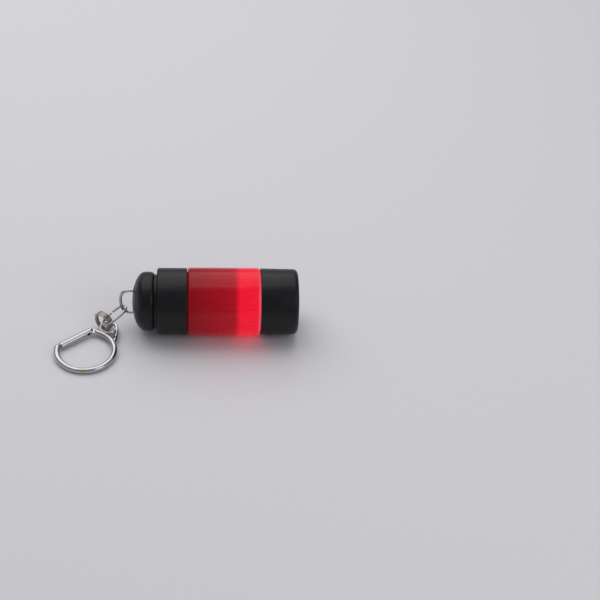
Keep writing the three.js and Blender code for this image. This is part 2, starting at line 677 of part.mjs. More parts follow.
const eyeNormal = new THREE.Vector3(
  HOOK_HALF_LEN * Math.cos(rad(HOOK_EYE_AT)),
  HOOK_HALF_WIDTH * Math.sin(rad(HOOK_EYE_AT)),
  0,
).normalize();
const ovalCentre = fromOvalCentre(HOOK_EYE_AT).addScaledVector(eyeNormal, EYE_R + HOOK_WIRE_R).negate();
const onOval = (degrees) => fromOvalCentre(degrees).add(ovalCentre);
const PIVOT = onOval(HOOK_PIVOT);
const NOSE = onOval(HOOK_NOSE);

const hook = new THREE.Group();
hook.position.copy(eyeCentre);
hook.rotation.x = Math.atan2(EYE_HEIGHT - HOOK_WIRE_R, HOOK_HALF_LEN - ovalCentre.y);
object.add(hook);

// A cylinder standing along Z.
function upright(radius, height, sides) {
  return new THREE.CylinderGeometry(radius, radius, height, sides).rotateX(Math.PI / 2);
}

// The flat tongue with a pin hole that takes over where the round wire stops.
function lug(wireEnd) {
  const run = wireEnd.clone().sub(PIVOT);
  const middle = wireEnd.clone().add(PIVOT).multiplyScalar(0.5);
  const tongue = new THREE.BoxGeometry(run.length(), LUG_R * 1.5, LUG_THICK)
    .rotateZ(Math.atan2(run.y, run.x))
    .translate(middle.x, middle.y, 0);
  const head = upright(LUG_R, LUG_THICK, 16).translate(PIVOT.x, PIVOT.y, 0);
  const hole = upright(GATE_PIN_R + REST, LUG_THICK + CUT, 12).translate(PIVOT.x, PIVOT.y, 0);
  return cut(join(head, tongue), hole);
}

// The wire that runs from the eye's side straight down into the oval.
function neck() {
  const top = new THREE.Vector3(EYE_R, 0, 0);
  const foot = onOval(HOOK_NECK_AT);
  const middle = new THREE.Vector3(EYE_R, foot.y / 2, 0);
  return wire(new THREE.CatmullRomCurve3([top, middle, foot]), EYE_WIRE_R, 8, 10);
}

function hookFrame() {
  const clear = GATE_R + LUG_R; // from the pin to the end of the round wire
  const wireStop = HOOK_PIVOT - THREE.MathUtils.radToDeg(clear / HOOK_HALF_WIDTH);
  const sweep = wireStop + 360 - HOOK_NOSE;
  const bend = wire(curveOf((t) => onOval(HOOK_NOSE + sweep * t), 32), HOOK_WIRE_R, 36, 12);
  const ball = new THREE.SphereGeometry(HOOK_WIRE_R, 12, 8).translate(NOSE.x, NOSE.y, 0);
  const eye = turned(arc(0, EYE_R, EYE_WIRE_R, 180, -180, 8), RING_FACETS).rotateY(Math.PI / 2);
  return join(bend, ball, eye, neck(), lug(onOval(wireStop - LUG_SINK)));
}

add(hook, "hook_frame", hookFrame(), chrome());

// ---------------------------------------------------------------- gate
// A round bar from the pin to the nose, forked over the lug and bored for its spring.
const gateLine = NOSE.clone().sub(PIVOT);
const GATE_LEN = gateLine.length() - HOOK_WIRE_R - GAP;
const gate = new THREE.Group(); // its X axis runs from the pin to the nose
gate.position.copy(PIVOT);
gate.rotation.z = Math.atan2(gateLine.y, gateLine.x);
hook.add(gate);

function gateBar() {
  const forkHalf = LUG_THICK / 2 + FORK_PLAY;
  const bar = join(disc(0, GATE_LEN, GATE_R, 16), new THREE.SphereGeometry(GATE_R, 16, 8));
  const fork = block([-GATE_R - CUT, -GATE_R - CUT, -forkHalf], [GATE_FORK, GATE_R + CUT, forkHalf]);
  const hole = upright(GATE_PIN_R + REST, 4 * GATE_R, 12);
  const bore = disc(GATE_FORK - CUT, GATE_FORK + GATE_BORE_LEN, GATE_BORE_R, 12);
  return cut(bar, fork, hole, bore);
}

function gateSpring() {
  const start = GATE_FORK + GAP;
  const length = GATE_BORE_LEN - 2 * GAP - GATE_SPRING_WIRE_R;
  const radius = GATE_BORE_R - GATE_SPRING_WIRE_R - REST;
  const helix = curveOf((t) => {
    const angle = 2 * Math.PI * GATE_SPRING_TURNS * t;
    return [start + length * t, radius * Math.cos(angle), radius * Math.sin(angle)];
  }, 8 * GATE_SPRING_TURNS);
  return wire(helix, GATE_SPRING_WIRE_R, 8 * GATE_SPRING_TURNS, 4);
}

add(gate, "gate", gateBar(), chrome());
add(gate, "gate_spring", gateSpring(), steel());
add(gate, "gate_pin", upright(GATE_PIN_R, 2 * GATE_R - REST, 12), steel());

export default object;
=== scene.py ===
import json

import bmesh
import bpy
import numpy as np
from mathutils import Matrix, Vector


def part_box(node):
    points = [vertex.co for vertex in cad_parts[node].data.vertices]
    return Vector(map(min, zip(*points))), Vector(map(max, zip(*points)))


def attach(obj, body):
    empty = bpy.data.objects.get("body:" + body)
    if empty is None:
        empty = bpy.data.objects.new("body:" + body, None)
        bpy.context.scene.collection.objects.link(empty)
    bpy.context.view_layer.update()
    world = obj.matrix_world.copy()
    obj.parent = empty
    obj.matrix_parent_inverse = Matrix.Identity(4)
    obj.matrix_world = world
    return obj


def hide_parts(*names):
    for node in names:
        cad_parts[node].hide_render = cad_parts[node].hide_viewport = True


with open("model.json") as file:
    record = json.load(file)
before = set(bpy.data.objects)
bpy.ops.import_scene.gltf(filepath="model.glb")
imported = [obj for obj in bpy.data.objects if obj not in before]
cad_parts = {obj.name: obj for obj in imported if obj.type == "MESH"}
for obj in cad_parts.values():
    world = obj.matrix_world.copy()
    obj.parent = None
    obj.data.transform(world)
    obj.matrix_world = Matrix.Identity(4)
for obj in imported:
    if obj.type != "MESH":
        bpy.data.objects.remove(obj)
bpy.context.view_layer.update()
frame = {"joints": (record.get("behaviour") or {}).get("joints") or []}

# ---------------------------------------------------------------- barrel
# The barrel is a thick tube of clear red polycarbonate, injection moulded and polished outside. The cap
# pushes on its tail collar and the head screws on its front collar. The LED's light through it is painted on
# as emission: a faint red glow over the core, brighter past the core's end and pink at the head shoulder.
MM = 0.001
ARC_STEPS = 6  # points on each eased corner
SHARP = np.radians(38)  # faces that meet at more than this show an edge
CENTRE = np.array([0.0, 0.0, sum(corner.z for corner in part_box("barrel")) / 2 / MM])
ALONG = np.array([1.0, 0.0, 0.0])


def stations(name):
    """First x, last x and radius, in millimetres, of the round piece that fills a turned CAD node."""
    low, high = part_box(name)
    return low.x / MM, high.x / MM, (high.z - low.z) / 2 / MM


def eased(corners):
    """An outline from corners (x, r, radius): each corner gives way to the arc of that radius that
    touches both of its sides, made smaller where a side is too short for it."""
    corners = np.array(corners, float)
    points, radius = corners[:, :2], corners[:, 2]
    back, on = np.roll(points, 1, 0) - points, np.roll(points, -1, 0) - points
    lengths = np.linalg.norm(back, axis=1), np.linalg.norm(on, axis=1)
    back, on = back / lengths[0][:, None], on / lengths[1][:, None]
    half = np.arccos(np.clip((back * on).sum(1), -0.999999, 0.999999)) / 2
    touch = np.minimum(radius / np.tan(half), 0.49 * np.minimum(*lengths))
    middle = (back + on) / np.linalg.norm(back + on, axis=1)[:, None]
    centre = points + middle * (touch / np.cos(half))[:, None]
    start, end = points + back * touch[:, None] - centre, points + on * touch[:, None] - centre
    turn = (np.pi - 2 * half)[:, None, None]
    share = np.linspace(0, 1, ARC_STEPS)[None, :, None]
    swing = np.sin((1 - share) * turn) * start[:, None] + np.sin(share * turn) * end[:, None]
    return (centre[:, None] + swing / np.sin(turn)).reshape(-1, 2)


def smoothed(piece):
    """Shades a piece as a smooth surface that keeps its edges."""
    piece.data.polygons.foreach_set("use_smooth", np.ones(len(piece.data.polygons), bool))
    piece.data.set_sharp_from_angle(angle=SHARP)
    piece.data.update()
    return piece


def surface(name, grid, loop=False):
    """A closed skin over a grid of points in millimetres. Rows follow the piece and columns go round it;
    a loop joins the last row to the first, and points that fall together at a pole become one."""
    rows, columns = grid.shape[:2]
    index = np.arange(rows * columns).reshape(rows, columns)
    start, end = (index, np.roll(index, -1, 0)) if loop else (index[:-1], index[1:])
    faces = np.stack([start, end, np.roll(end, -1, 1), np.roll(start, -1, 1)], -1).reshape(-1, 4)
    mesh = bpy.data.meshes.new(name)
    mesh.from_pydata((grid.reshape(-1, 3) * MM).tolist(), [], faces.tolist())
    shell = bmesh.new()
    shell.from_mesh(mesh)
    bmesh.ops.remove_doubles(shell, verts=shell.verts, dist=0.001 * MM)
    bmesh.ops.recalc_face_normals(shell, faces=shell.faces)
    shell.to_mesh(mesh)
    shell.free()
    piece = bpy.data.objects.new(name, mesh)
    bpy.context.scene.collection.objects.link(piece)
    return smoothed(piece)


def turned(name, outline, sides=96, origin=CENTRE, along=ALONG):
    """Turns an outline of (x, r) about a line: each point stands x along the line from its origin and
    goes round it at the distance r. An outline that leaves the line is a loop."""
    side = np.cross(along, [0.3, 0.2, 1.0])
    side /= np.linalg.norm(side)
    angle = np.linspace(0, 2 * np.pi, sides, endpoint=False)[:, None]
    round_it = np.cos(angle) * side + np.sin(angle) * np.cross(along, side)
    x, r = outline.T
    grid = origin + x[:, None, None] * along + r[:, None, None] * round_it
    return surface(name, grid, loop=min(r[0], r[-1]) > 1e-6)


def node(material, kind, inputs=(), **settings):
    """Adds a shader node. Inputs are pairs of a name or number and a value or another node's output."""
    made = material.node_tree.nodes.new(kind)
    for key, value in settings.items():
        setattr(made, key, value)
    for key, value in dict(inputs).items():
        if isinstance(value, bpy.types.NodeSocket):
            material.node_tree.links.new(value, made.inputs[key])
        else:
            made.inputs[key].default_value = value
    return made


def finish(name, **inputs):
    """A new material. Its shader's plain numbers are named with underscores for spaces."""
    material = bpy.data.materials.new(name)
    material.use_nodes = True
    shader = material.node_tree.nodes["Principled BSDF"]
    for key, value in inputs.items():
        shader.inputs[key.replace("_", " ")].default_value = value
    return material


def drive(material, socket, value):
    """Feeds one input of the material's shader."""
    shader = material.node_tree.nodes["Principled BSDF"]
    material.node_tree.links.new(value, shader.inputs[socket])


def place(material, stretch=(1, 1, 1), centre=(0, 0, 0)):
    """Object coordinates in millimetres from a centre, stretched by a factor along each axis."""
    spot = node(material, "ShaderNodeTexCoord").outputs["Object"]
    scale = [s / MM for s in stretch]
    shift = [-c * s for c, s in zip(centre, stretch)]
    return node(material, "ShaderNodeMapping", {0: spot, 1: shift, 3: scale}).outputs[0]


def noise(material, spot, scale, detail=3.0):
    """Soft random cloud with about `scale` patches in each millimetre."""
    inputs = {"Vector": spot, "Scale": scale, "Detail": detail}
    return node(material, "ShaderNodeTexNoise", inputs).outputs["Fac"]


def spread(material, value, old, new):
    """Carries a value from one range to another and stops at its ends."""
    inputs = {0: value, 1: old[0], 2: old[1], 3: new[0], 4: new[1]}
    return node(material, "ShaderNodeMapRange", inputs).outputs[0]


def tint(material, share, first, second):
    """A colour between two, by a share from 0 to 1."""
    inputs = {0: share, 6: (*first, 1), 7: (*second, 1)}
    return node(material, "ShaderNodeMix", inputs, data_type="RGBA").outputs[2]


def relief(material, *heights):
    """Bump from pairs of a height and its depth in millimetres, one over the other."""
    normal = None
    for height, depth in heights:
        inputs = {"Height": height, "Distance": depth * MM, "Strength": 1.0}
        if normal:
            inputs["Normal"] = normal
        normal = node(material, "ShaderNodeBump", inputs).outputs[0]
    drive(material, "Normal", normal)


def settle(piece, material, body, slot, *nodes):
    """Gives a finished piece its material and its body and hides the CAD nodes that it stands for; the slot
    is not used.
    """
    piece.data.materials.clear()
    piece.data.materials.append(material)
    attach(piece, body)
    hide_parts(*nodes)


TUBE_START, TUBE_END, TUBE_RADIUS = stations("barrel")
SHOULDER_PLAY = 0.2  # gap that the cap and the head leave at the tube's shoulders
SHOULDER_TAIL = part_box("tail_cap")[1].x / MM + SHOULDER_PLAY
SHOULDER_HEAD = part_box("head_shell")[0].x / MM - SHOULDER_PLAY
SLIP = 0.15  # play between pieces that slide in each other
TUBE_BORE = stations("led_board")[2] + SLIP
SEAL_PROUD = 0.05  # how far a seal stands out of its collar
SEAL_DEPTH = 1.1  # depth of the grooves that hold the seals
COLLAR_RADIUS = stations("cap_o_ring")[2] - SEAL_PROUD
SEAL_FLOOR = COLLAR_RADIUS - SEAL_DEPTH
SEAL_CENTRES = [sum(corner.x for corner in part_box(n)) / 2 / MM for n in ("cap_o_ring", "head_o_ring")]
GROOVE_HALF = 0.66


def seal_groove(x):
    """Corners of a square groove round a collar."""
    return [
        (x - GROOVE_HALF, COLLAR_RADIUS, 0.08),
        (x - GROOVE_HALF, SEAL_FLOOR, 0.1),
        (x + GROOVE_HALF, SEAL_FLOOR, 0.1),
        (x + GROOVE_HALF, COLLAR_RADIUS, 0.08),
    ]


tube_outline = eased(
    [
        (TUBE_START, TUBE_BORE, 0.15),
        (TUBE_START, COLLAR_RADIUS, 0.3),
        *seal_groove(SEAL_CENTRES[0]),
        (SHOULDER_TAIL, COLLAR_RADIUS, 0.15),
        (SHOULDER_TAIL, TUBE_RADIUS, 0.8),
        (SHOULDER_HEAD, TUBE_RADIUS, 0.8),
        (SHOULDER_HEAD, COLLAR_RADIUS, 0.15),
        *seal_groove(SEAL_CENTRES[1]),
        (TUBE_END, COLLAR_RADIUS, 0.3),
        (TUBE_END, TUBE_BORE, 0.15),
    ]
)
barrel_tube = turned("barrel_tube", tube_outline, sides=160)

red = finish(
    "clear_red_polycarbonate",
    Roughness=0.1,
    IOR=1.45,
    Specular_IOR_Level=0.1,
    Transmission_Weight=0.4,
    Sheen_Weight=0.5,
    Sheen_Roughness=0.25,
    Sheen_Tint=(1.0, 0.1, 0.16, 1),
)
red_spot = place(red)
red_flow = noise(red, place(red, stretch=(0.12, 1, 1)), 1.6)
red_x = node(red, "ShaderNodeSeparateXYZ", {0: red_spot}).outputs[0]
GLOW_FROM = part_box("core_upper")[1].x / MM  # the light starts where the core ends
# Painted glow, not a lamp: emission rising along x from the tail shoulder past the core's end, streaked by
# the flow noise, pink at the head shoulder.
painted_glow_core = spread(red, red_x, (SHOULDER_TAIL, GLOW_FROM + 1.5), (0.04, 0.17))
painted_glow_clear = spread(red, red_x, (GLOW_FROM + 1.1, GLOW_FROM + 3.1), (0.0, 0.33))
painted_glow_edge = spread(red, red_x, (SHOULDER_HEAD - 0.9, SHOULDER_HEAD - 0.1), (0.0, 1.0))
drive(red, "Base Color", tint(red, red_flow, (0.30, 0.0, 0.004), (0.46, 0.001, 0.012)))
drive(red, "Emission Color", tint(red, painted_glow_edge, (1.0, 0.012, 0.05), (1.0, 0.16, 0.26)))
lit = node(red, "ShaderNodeMath", {0: painted_glow_core, 1: painted_glow_clear}, operation="ADD").outputs[0]
painted_glow_streaks = {0: lit, 1: spread(red, red_flow, (0.3, 0.7), (0.8, 1.1))}
drive(red, "Emission Strength", node(red, "ShaderNodeMath", painted_glow_streaks, operation="MULTIPLY").outputs[0])
drive(red, "Roughness", spread(red, noise(red, red_spot, 0.9), (0.3, 0.7), (0.16, 0.26)))
relief(red, (noise(red, red_spot, 0.5), 0.01), (red_flow, 0.004))
settle(barrel_tube, red, "barrel", "red_polycarbonate", "barrel")

# ---------------------------------------------------------------- seals
# Two black nitrile o-rings, moulded in one ring each, sit in the collars' grooves. They keep rain out
# and give the cap its grip.
rubber = finish("black_nitrile_rubber", Roughness=0.6)
rubber_dust = noise(rubber, place(rubber), 3.0)
drive(rubber, "Base Color", tint(rubber, rubber_dust, (0.012, 0.012, 0.012), (0.03, 0.03, 0.03)))
drive(rubber, "Roughness", spread(rubber, rubber_dust, (0.3, 0.7), (0.5, 0.75)))
relief(rubber, (noise(rubber, place(rubber), 12.0), 0.01))


def ring_section(x, r, wire, points=24):
    """A circle of the wire's radius about the point (x, r)."""
    angle = np.linspace(0, 2 * np.pi, points, endpoint=False)
    return np.stack([x + wire * np.cos(angle), r + wire * np.sin(angle)], 1)


for seal, name in (("tail_seal", "cap_o_ring"), ("head_seal", "head_o_ring")):
    seal_start, seal_end, seal_radius = stations(name)
    seal_wire = (seal_end - seal_start) / 2
    section = ring_section((seal_start + seal_end) / 2, seal_radius - seal_wire, seal_wire)
    settle(turned(seal, section), rubber, "barrel", "seal_rubber", name)

# ---------------------------------------------------------------- core
# Two white half shells, moulded in ABS, clamp the plug, the charge board and the cell. They slide into
# the barrel from its tail, and their parting line lies level with the axis.
CUT = 1.0  # how far a cutter runs past the face that it opens


def cutter(low, high):
    """A square block for cutting, from corner to corner in millimetres."""
    y = np.array([low[1], high[1], high[1], low[1]])
    z = np.array([low[2], low[2], high[2], high[2]])
    middle = np.array([(low[1] + high[1]) / 2, (low[2] + high[2]) / 2])
    rows = []
    for x, size in ((low[0], 0), (low[0], 1), (high[0], 1), (high[0], 0)):
        row_y, row_z = middle[0] + size * (y - middle[0]), middle[1] + size * (z - middle[1])
        rows.append(np.stack([np.full(4, x), row_y, row_z], 1))
    return surface("cutter", np.array(rows))


def carved(piece, *cutters, keep=False):
    """Takes the cutters out of the piece, or keeps only what lies in them, and drops the cutters."""
    for tool in cutters:
        change = piece.modifiers.new("cut", "BOOLEAN")
        change.object, change.solver = tool, "EXACT"
        change.operation = "INTERSECT" if keep else "DIFFERENCE"
    scene = bpy.context.evaluated_depsgraph_get()
    mesh = bpy.data.meshes.new_from_object(piece.evaluated_get(scene))
    piece.modifiers.clear()
    piece.data = mesh
    for tool in cutters:
        bpy.data.objects.remove(tool)
    return smoothed(piece)


white = finish("white_moulded_plastic", Roughness=0.4)
white_cloud = noise(white, place(white), 0.8)
drive(white, "Base Color", tint(white, white_cloud, (0.66, 0.66, 0.63), (0.78, 0.78, 0.75)))
drive(white, "Roughness", spread(white, white_cloud, (0.3, 0.7), (0.35, 0.5)))
relief(white, (noise(white, place(white), 9.0), 0.006))

CORE_START, CORE_END, _ = stations("core_upper")
CORE_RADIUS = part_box("core_upper")[1].y / MM  # from its width, as a half shell is only half as high
CORE_WALL, CORE_PLATE, PART_GAP = 1.0, 1.2, 0.1
PLUG_LOW, PLUG_HIGH = (np.array(corner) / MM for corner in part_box("usb_shell"))
SPRING_HOLE = 3.3
BODY_REACH = 12  # further out than any wall of the body
core_outside = [
    (CORE_START, 0, 0),
    (CORE_START, CORE_RADIUS, 0.3),
    (CORE_END, CORE_RADIUS, 0.3),
    (CORE_END, SPRING_HOLE, 0.2),
    (CORE_END - CORE_PLATE, SPRING_HOLE, 0.1),
    (CORE_END - CORE_PLATE, CORE_RADIUS - CORE_WALL, 0.2),
    (CORE_START + CORE_PLATE, CORE_RADIUS - CORE_WALL, 0.2),
    (CORE_START + CORE_PLATE, 0, 0),
]
for half, side in (("core_upper", 1), ("core_lower", -1)):
    shell = turned(f"{half}_half", eased(core_outside), sides=80)
    plug_hole = cutter(
        (CORE_START - CUT, PLUG_LOW[1] - SLIP, PLUG_LOW[2] - SLIP),
        (CORE_START + CORE_PLATE + CUT, PLUG_HIGH[1] + SLIP, PLUG_HIGH[2] + SLIP),
    )
    z = sorted([CENTRE[2] - side * BODY_REACH, CENTRE[2] + side * PART_GAP])
    other_half = cutter((CORE_START - CUT, -BODY_REACH, z[0]), (CORE_END + CUT, BODY_REACH, z[1]))
    carved(shell, plug_hole, other_half)
    settle(shell, white, "barrel", "white_plastic", half)

# ---------------------------------------------------------------- plug
# The USB plug is a tube of bright stamped steel, folded to a rounded oblong with two square latch holes,
# round a white tongue with four gold-plated contacts. It is soldered to the charge board.
STEEL_EDGE = 0.6  # corner radius of the folded shell
PLUG_WALL = 0.3


def bar(name, low, high, edge, ends=0.0, flat_steps=3):
    """An oblong bar along x with eased edges: the section is a rounded rectangle, and each end draws it
    in along a quarter circle before it closes on the middle."""
    low, high = np.array(low, float), np.array(high, float)
    middle, half = (low + high)[1:] / 2, (high - low)[1:] / 2
    turn = np.linspace(0, np.pi / 2, flat_steps + 1)
    inset = np.concatenate([ends * (1 - np.sin(turn)), ends * (1 - np.sin(turn[::-1]))])
    x = np.concatenate([low[0] + ends * (1 - np.cos(turn)), high[0] - ends * (1 - np.cos(turn[::-1]))])
    corners = np.array([(-1, -1), (1, -1), (1, 1), (-1, 1)])
    rows = [
        eased([(*(middle + c * (half - d)), max(edge - d, 0.01)) for c in corners])
        for d in inset
    ]
    grid = np.array([np.insert(row, 0, place_x, axis=1) for place_x, row in zip(x, rows)])
    centre_ends = [np.broadcast_to([x[i], *middle], grid[0].shape) for i in (0, -1)]
    return surface(name, np.concatenate([centre_ends[:1], grid, centre_ends[1:]]))


def oblong_tube(name, low, high, edge, wall):
    """A folded tube along x: the outside section runs forward and the inside section runs back."""
    low, high = np.array(low, float), np.array(high, float)
    middle, half = (low + high)[1:] / 2, (high - low)[1:] / 2
    corners = np.array([(-1, -1), (1, -1), (1, 1), (-1, 1)])
    rows = []
    lip = wall / 3
    for x, inset in (
        (low[0], lip), (low[0] + lip, 0), (high[0] - lip, 0), (high[0], lip),
        (high[0], wall), (low[0] + lip, wall), (low[0], wall - lip / 2),
    ):
        outline = eased([(*(middle + c * (half - inset)), edge - inset) for c in corners])
        rows.append(np.insert(outline, 0, x, axis=1))
    return surface(name, np.array(rows), loop=True)


steel = finish("bright_stamped_steel", Metallic=1.0, Roughness=0.25)
steel_lines = noise(steel, place(steel, stretch=(0.06, 1, 1)), 14.0)
steel_cloud = noise(steel, place(steel), 0.7)
drive(steel, "Base Color", tint(steel, steel_cloud, (0.58, 0.58, 0.6), (0.72, 0.72, 0.73)))
drive(steel, "Roughness", spread(steel, steel_lines, (0.3, 0.7), (0.18, 0.36)))
relief(steel, (steel_lines, 0.003))

plug_shell = oblong_tube("plug_shell", PLUG_LOW, PLUG_HIGH, STEEL_EDGE, PLUG_WALL)
LATCH_REACH, LATCH_SIDE, LATCH_SPREAD = 5.0, 2.4, 2.9
latch_holes = [
    cutter(
        (PLUG_LOW[0] + LATCH_REACH, y - LATCH_SIDE / 2, CENTRE[2]),
        (PLUG_LOW[0] + LATCH_REACH + LATCH_SIDE, y + LATCH_SIDE / 2, PLUG_HIGH[2] + CUT),
    )
    for y in (-LATCH_SPREAD, LATCH_SPREAD)
]
settle(carved(plug_shell, *latch_holes), steel, "barrel", "stamped_steel", "usb_shell")

gold = finish("gold_plate", Metallic=1.0, Roughness=0.2)
gold_cloud = noise(gold, place(gold), 2.5)
drive(gold, "Base Color", tint(gold, gold_cloud, (0.83, 0.56, 0.2), (0.95, 0.72, 0.34)))
gold_lines = noise(gold, place(gold, stretch=(0.1, 1, 1)), 9.0)
drive(gold, "Roughness", spread(gold, gold_lines, (0.3, 0.7), (0.15, 0.3)))
relief(gold, (gold_cloud, 0.004))

tongue_low, tongue_high = (np.array(corner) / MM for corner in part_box("usb_tongue"))
contact_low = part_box("usb_contact_1")[0].z / MM
CONTACT_LIFT = 0.05  # gap under the contacts
TONGUE_TOP = contact_low - CONTACT_LIFT
TONGUE_THICK = 1.9
tongue_bar = (
    (tongue_low[0], tongue_low[1], TONGUE_TOP - TONGUE_THICK),
    (tongue_high[0], tongue_high[1], TONGUE_TOP),
)
settle(bar("plug_tongue", *tongue_bar, 0.15, 0.2), white, "barrel", "white_plastic", "usb_tongue")
TONGUE_BASE = 9.2  # from the plug's tip to the block behind the tongue
tongue_base = (PLUG_LOW[0] + TONGUE_BASE, tongue_low[1], tongue_low[2]), tuple(tongue_high)
settle(bar("plug_block", *tongue_base, 0.3, 0.1), white, "barrel", "white_plastic", "usb_tongue")
for number in range(1, 5):
    low, high = (np.array(corner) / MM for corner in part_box(f"usb_contact_{number}"))
    contact = bar(f"plug_contact_{number}", low, high, 0.05, 0.06)
    settle(contact, gold, "barrel", "gold_plate", f"usb_contact_{number}")

# ---------------------------------------------------------------- charge board and cell
# A green glass-epoxy board with a charger chip and a coil hangs under the plug. Behind them a steel
# button cell stands between two nickel tabs, all closed in by the core.
green = finish("green_solder_resist", Roughness=0.3, Coat_Weight=0.3)
green_weave = node(green, "ShaderNodeTexBrick", {"Vector": place(green), "Scale": 2.2, "Mortar Size": 0.03})
drive(green, "Base Color", tint(green, green_weave.outputs["Fac"], (0.02, 0.16, 0.06), (0.05, 0.3, 0.13)))
relief(green, (green_weave.outputs["Fac"], 0.02))
epoxy = finish("black_chip_epoxy", Roughness=0.55)
epoxy_grain = noise(epoxy, place(epoxy), 14.0)
drive(epoxy, "Base Color", tint(epoxy, epoxy_grain, (0.018, 0.018, 0.02), (0.04, 0.04, 0.045)))
relief(epoxy, (epoxy_grain, 0.006))
nickel = finish("bright_nickel", Metallic=1.0, Roughness=0.16)
nickel_scuffs = noise(nickel, place(nickel), 2.2, detail=5.0)
nickel_worn = spread(nickel, noise(nickel, place(nickel), 0.35), (0.52, 0.68), (0.0, 0.55))
drive(nickel, "Base Color", tint(nickel, nickel_worn, (0.5, 0.48, 0.47), (0.48, 0.36, 0.17)))
drive(nickel, "Roughness", spread(nickel, nickel_scuffs, (0.35, 0.7), (0.1, 0.32)))
relief(nickel, (nickel_scuffs, 0.008), (noise(nickel, place(nickel), 18.0), 0.003))

for name, piece_name, material, slot_name, edge in (
    ("charge_board", "charge_panel", green, "board_green", 0.3),
    ("charge_chip", "charger_chip", epoxy, "chip_epoxy", 0.12),
    ("charge_coil", "charger_coil", epoxy, "chip_epoxy", 0.6),
    ("cell_tab_rear", "rear_tab", nickel, "nickel_wire", 0.05),
    ("cell_tab_front", "front_tab", nickel, "nickel_wire", 0.05),
):
    low, high = (np.array(corner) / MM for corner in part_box(name))
    settle(bar(piece_name, low, high, edge, min(edge, 0.08)), material, "barrel", slot_name, name)

CELL_START, CELL_END, CELL_RADIUS = stations("battery_cell")
CELL_CAP_DEPTH, CELL_CAN_WALL, CELL_CAP_INSET = 0.7, 0.35, 0.5
cell_outline = eased(
    [
        (CELL_START, 0, 0),
        (CELL_START, CELL_RADIUS, 0.5),
        (CELL_END - CELL_CAP_DEPTH, CELL_RADIUS, 0.2),
        (CELL_END - CELL_CAP_DEPTH, CELL_RADIUS - CELL_CAN_WALL, 0.1),
        (CELL_END, CELL_RADIUS - CELL_CAP_INSET, 0.25),
        (CELL_END, 0, 0),
    ]
)
settle(turned("button_cell", cell_outline, 72), steel, "barrel", "stamped_steel", "battery_cell")

# ---------------------------------------------------------------- led module
# A white-masked aluminium disc carries one square LED under a clear silicone dome. A clear tube stands
# on it, carries the light to the barrel's wall and takes the push of the head's reflector; its glow is
# painted on as emission, fainter towards the head.
mask = finish("white_solder_mask", Roughness=0.35)
mask_rings = node(mask, "ShaderNodeTexGradient", {0: place(mask, (0, 0.11, 0.11), (0, 0, CENTRE[2]))})
mask_rings.gradient_type = "SPHERICAL"
mask_print = spread(mask, noise(mask, place(mask), 1.4), (0.45, 0.55), (0.0, 1.0))
drive(mask, "Base Color", tint(mask, mask_print, (0.72, 0.72, 0.7), (0.8, 0.8, 0.78)))
drive(mask, "Roughness", spread(mask, mask_rings.outputs["Fac"], (0.0, 1.0), (0.3, 0.5)))
relief(mask, (mask_print, 0.01))
phosphor = finish("lit_phosphor", Roughness=0.5, Emission_Strength=2.0)
phosphor_grain = noise(phosphor, place(phosphor), 9.0)
drive(phosphor, "Base Color", tint(phosphor, phosphor_grain, (0.9, 0.74, 0.2), (0.98, 0.86, 0.4)))
drive(phosphor, "Emission Color", tint(phosphor, phosphor_grain, (0.86, 0.9, 1.0), (1.0, 1.0, 1.0)))
relief(phosphor, (phosphor_grain, 0.02))
clear = finish("clear_polycarbonate", Transmission_Weight=1.0, IOR=1.58, Roughness=0.02)
drive(clear, "Base Color", tint(clear, noise(clear, place(clear), 0.4), (0.95, 0.97, 0.98), (0.99, 1.0, 1.0)))
clear_wipes = noise(clear, place(clear, (1, 1, 0.12)), 5.0)
drive(clear, "Roughness", spread(clear, clear_wipes, (0.45, 0.75), (0.01, 0.07)))
relief(clear, (noise(clear, place(clear), 0.6), 0.004))
frosted = finish("painted_glow_frosted_tube", Roughness=0.45, IOR=1.58, Transmission_Weight=0.5)
frosted_x = node(frosted, "ShaderNodeSeparateXYZ", {0: place(frosted)}).outputs[0]
frosted_grain = noise(frosted, place(frosted), 6.0)
drive(frosted, "Base Color", tint(frosted, frosted_grain, (0.86, 0.88, 0.9), (0.95, 0.96, 0.97)))
drive(frosted, "Emission Color", tint(frosted, frosted_grain, (0.9, 0.93, 1.0), (1.0, 1.0, 1.0)))
# Painted glow: the tube's emission stands in for the LED's light in it, fading from 0.45 to 0.15 towards the
# head.
drive(frosted, "Emission Strength", spread(frosted, frosted_x, (4.0, 16.0), (0.45, 0.15)))
relief(frosted, (frosted_grain, 0.01))


def rod(start, end, radius, edge, bore=0, bore_edge=0):
    """The outline of a rod from one x to another, or of a tube where it has a bore, with eased edges."""
    return eased(
        [(start, bore, bore_edge), (start, radius, edge), (end, radius, edge), (end, bore, bore_edge)]
    )


BOARD_START, BOARD_END, BOARD_RADIUS = stations("led_board")
board_outline = rod(BOARD_START, BOARD_END, BOARD_RADIUS, 0.1)
settle(turned("led_disc", board_outline), mask, "led_module", "led_board_metal", "led_board")
low, high = (np.array(corner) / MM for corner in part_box("led_emitter"))
settle(bar("led_chip", low, high, 0.3, 0.1), phosphor, "led_module", "led_phosphor", "led_emitter")
DOME_START, DOME_END, DOME_RADIUS = stations("led_dome")
dome_turn = np.linspace(0, np.pi / 2, 14)
dome_x = DOME_START + (DOME_END - DOME_START) * np.sin(dome_turn)
dome_curve = np.stack([dome_x, DOME_RADIUS * np.cos(dome_turn)], 1)
dome_outline = np.concatenate([[(DOME_START, 0.0)], dome_curve])
settle(turned("led_cap", dome_outline, 48), clear, "led_module", "clear_polycarbonate", "led_dome")
LIGHT_START, LIGHT_END, LIGHT_RADIUS = stations("light_tube")
LIGHT_WALL = 0.9
light_outline = rod(LIGHT_START, LIGHT_END, LIGHT_RADIUS, 0.15, LIGHT_RADIUS - LIGHT_WALL, 0.1)
settle(turned("light_guide", light_outline), frosted, "led_module", "clear_polycarbonate", "light_tube")


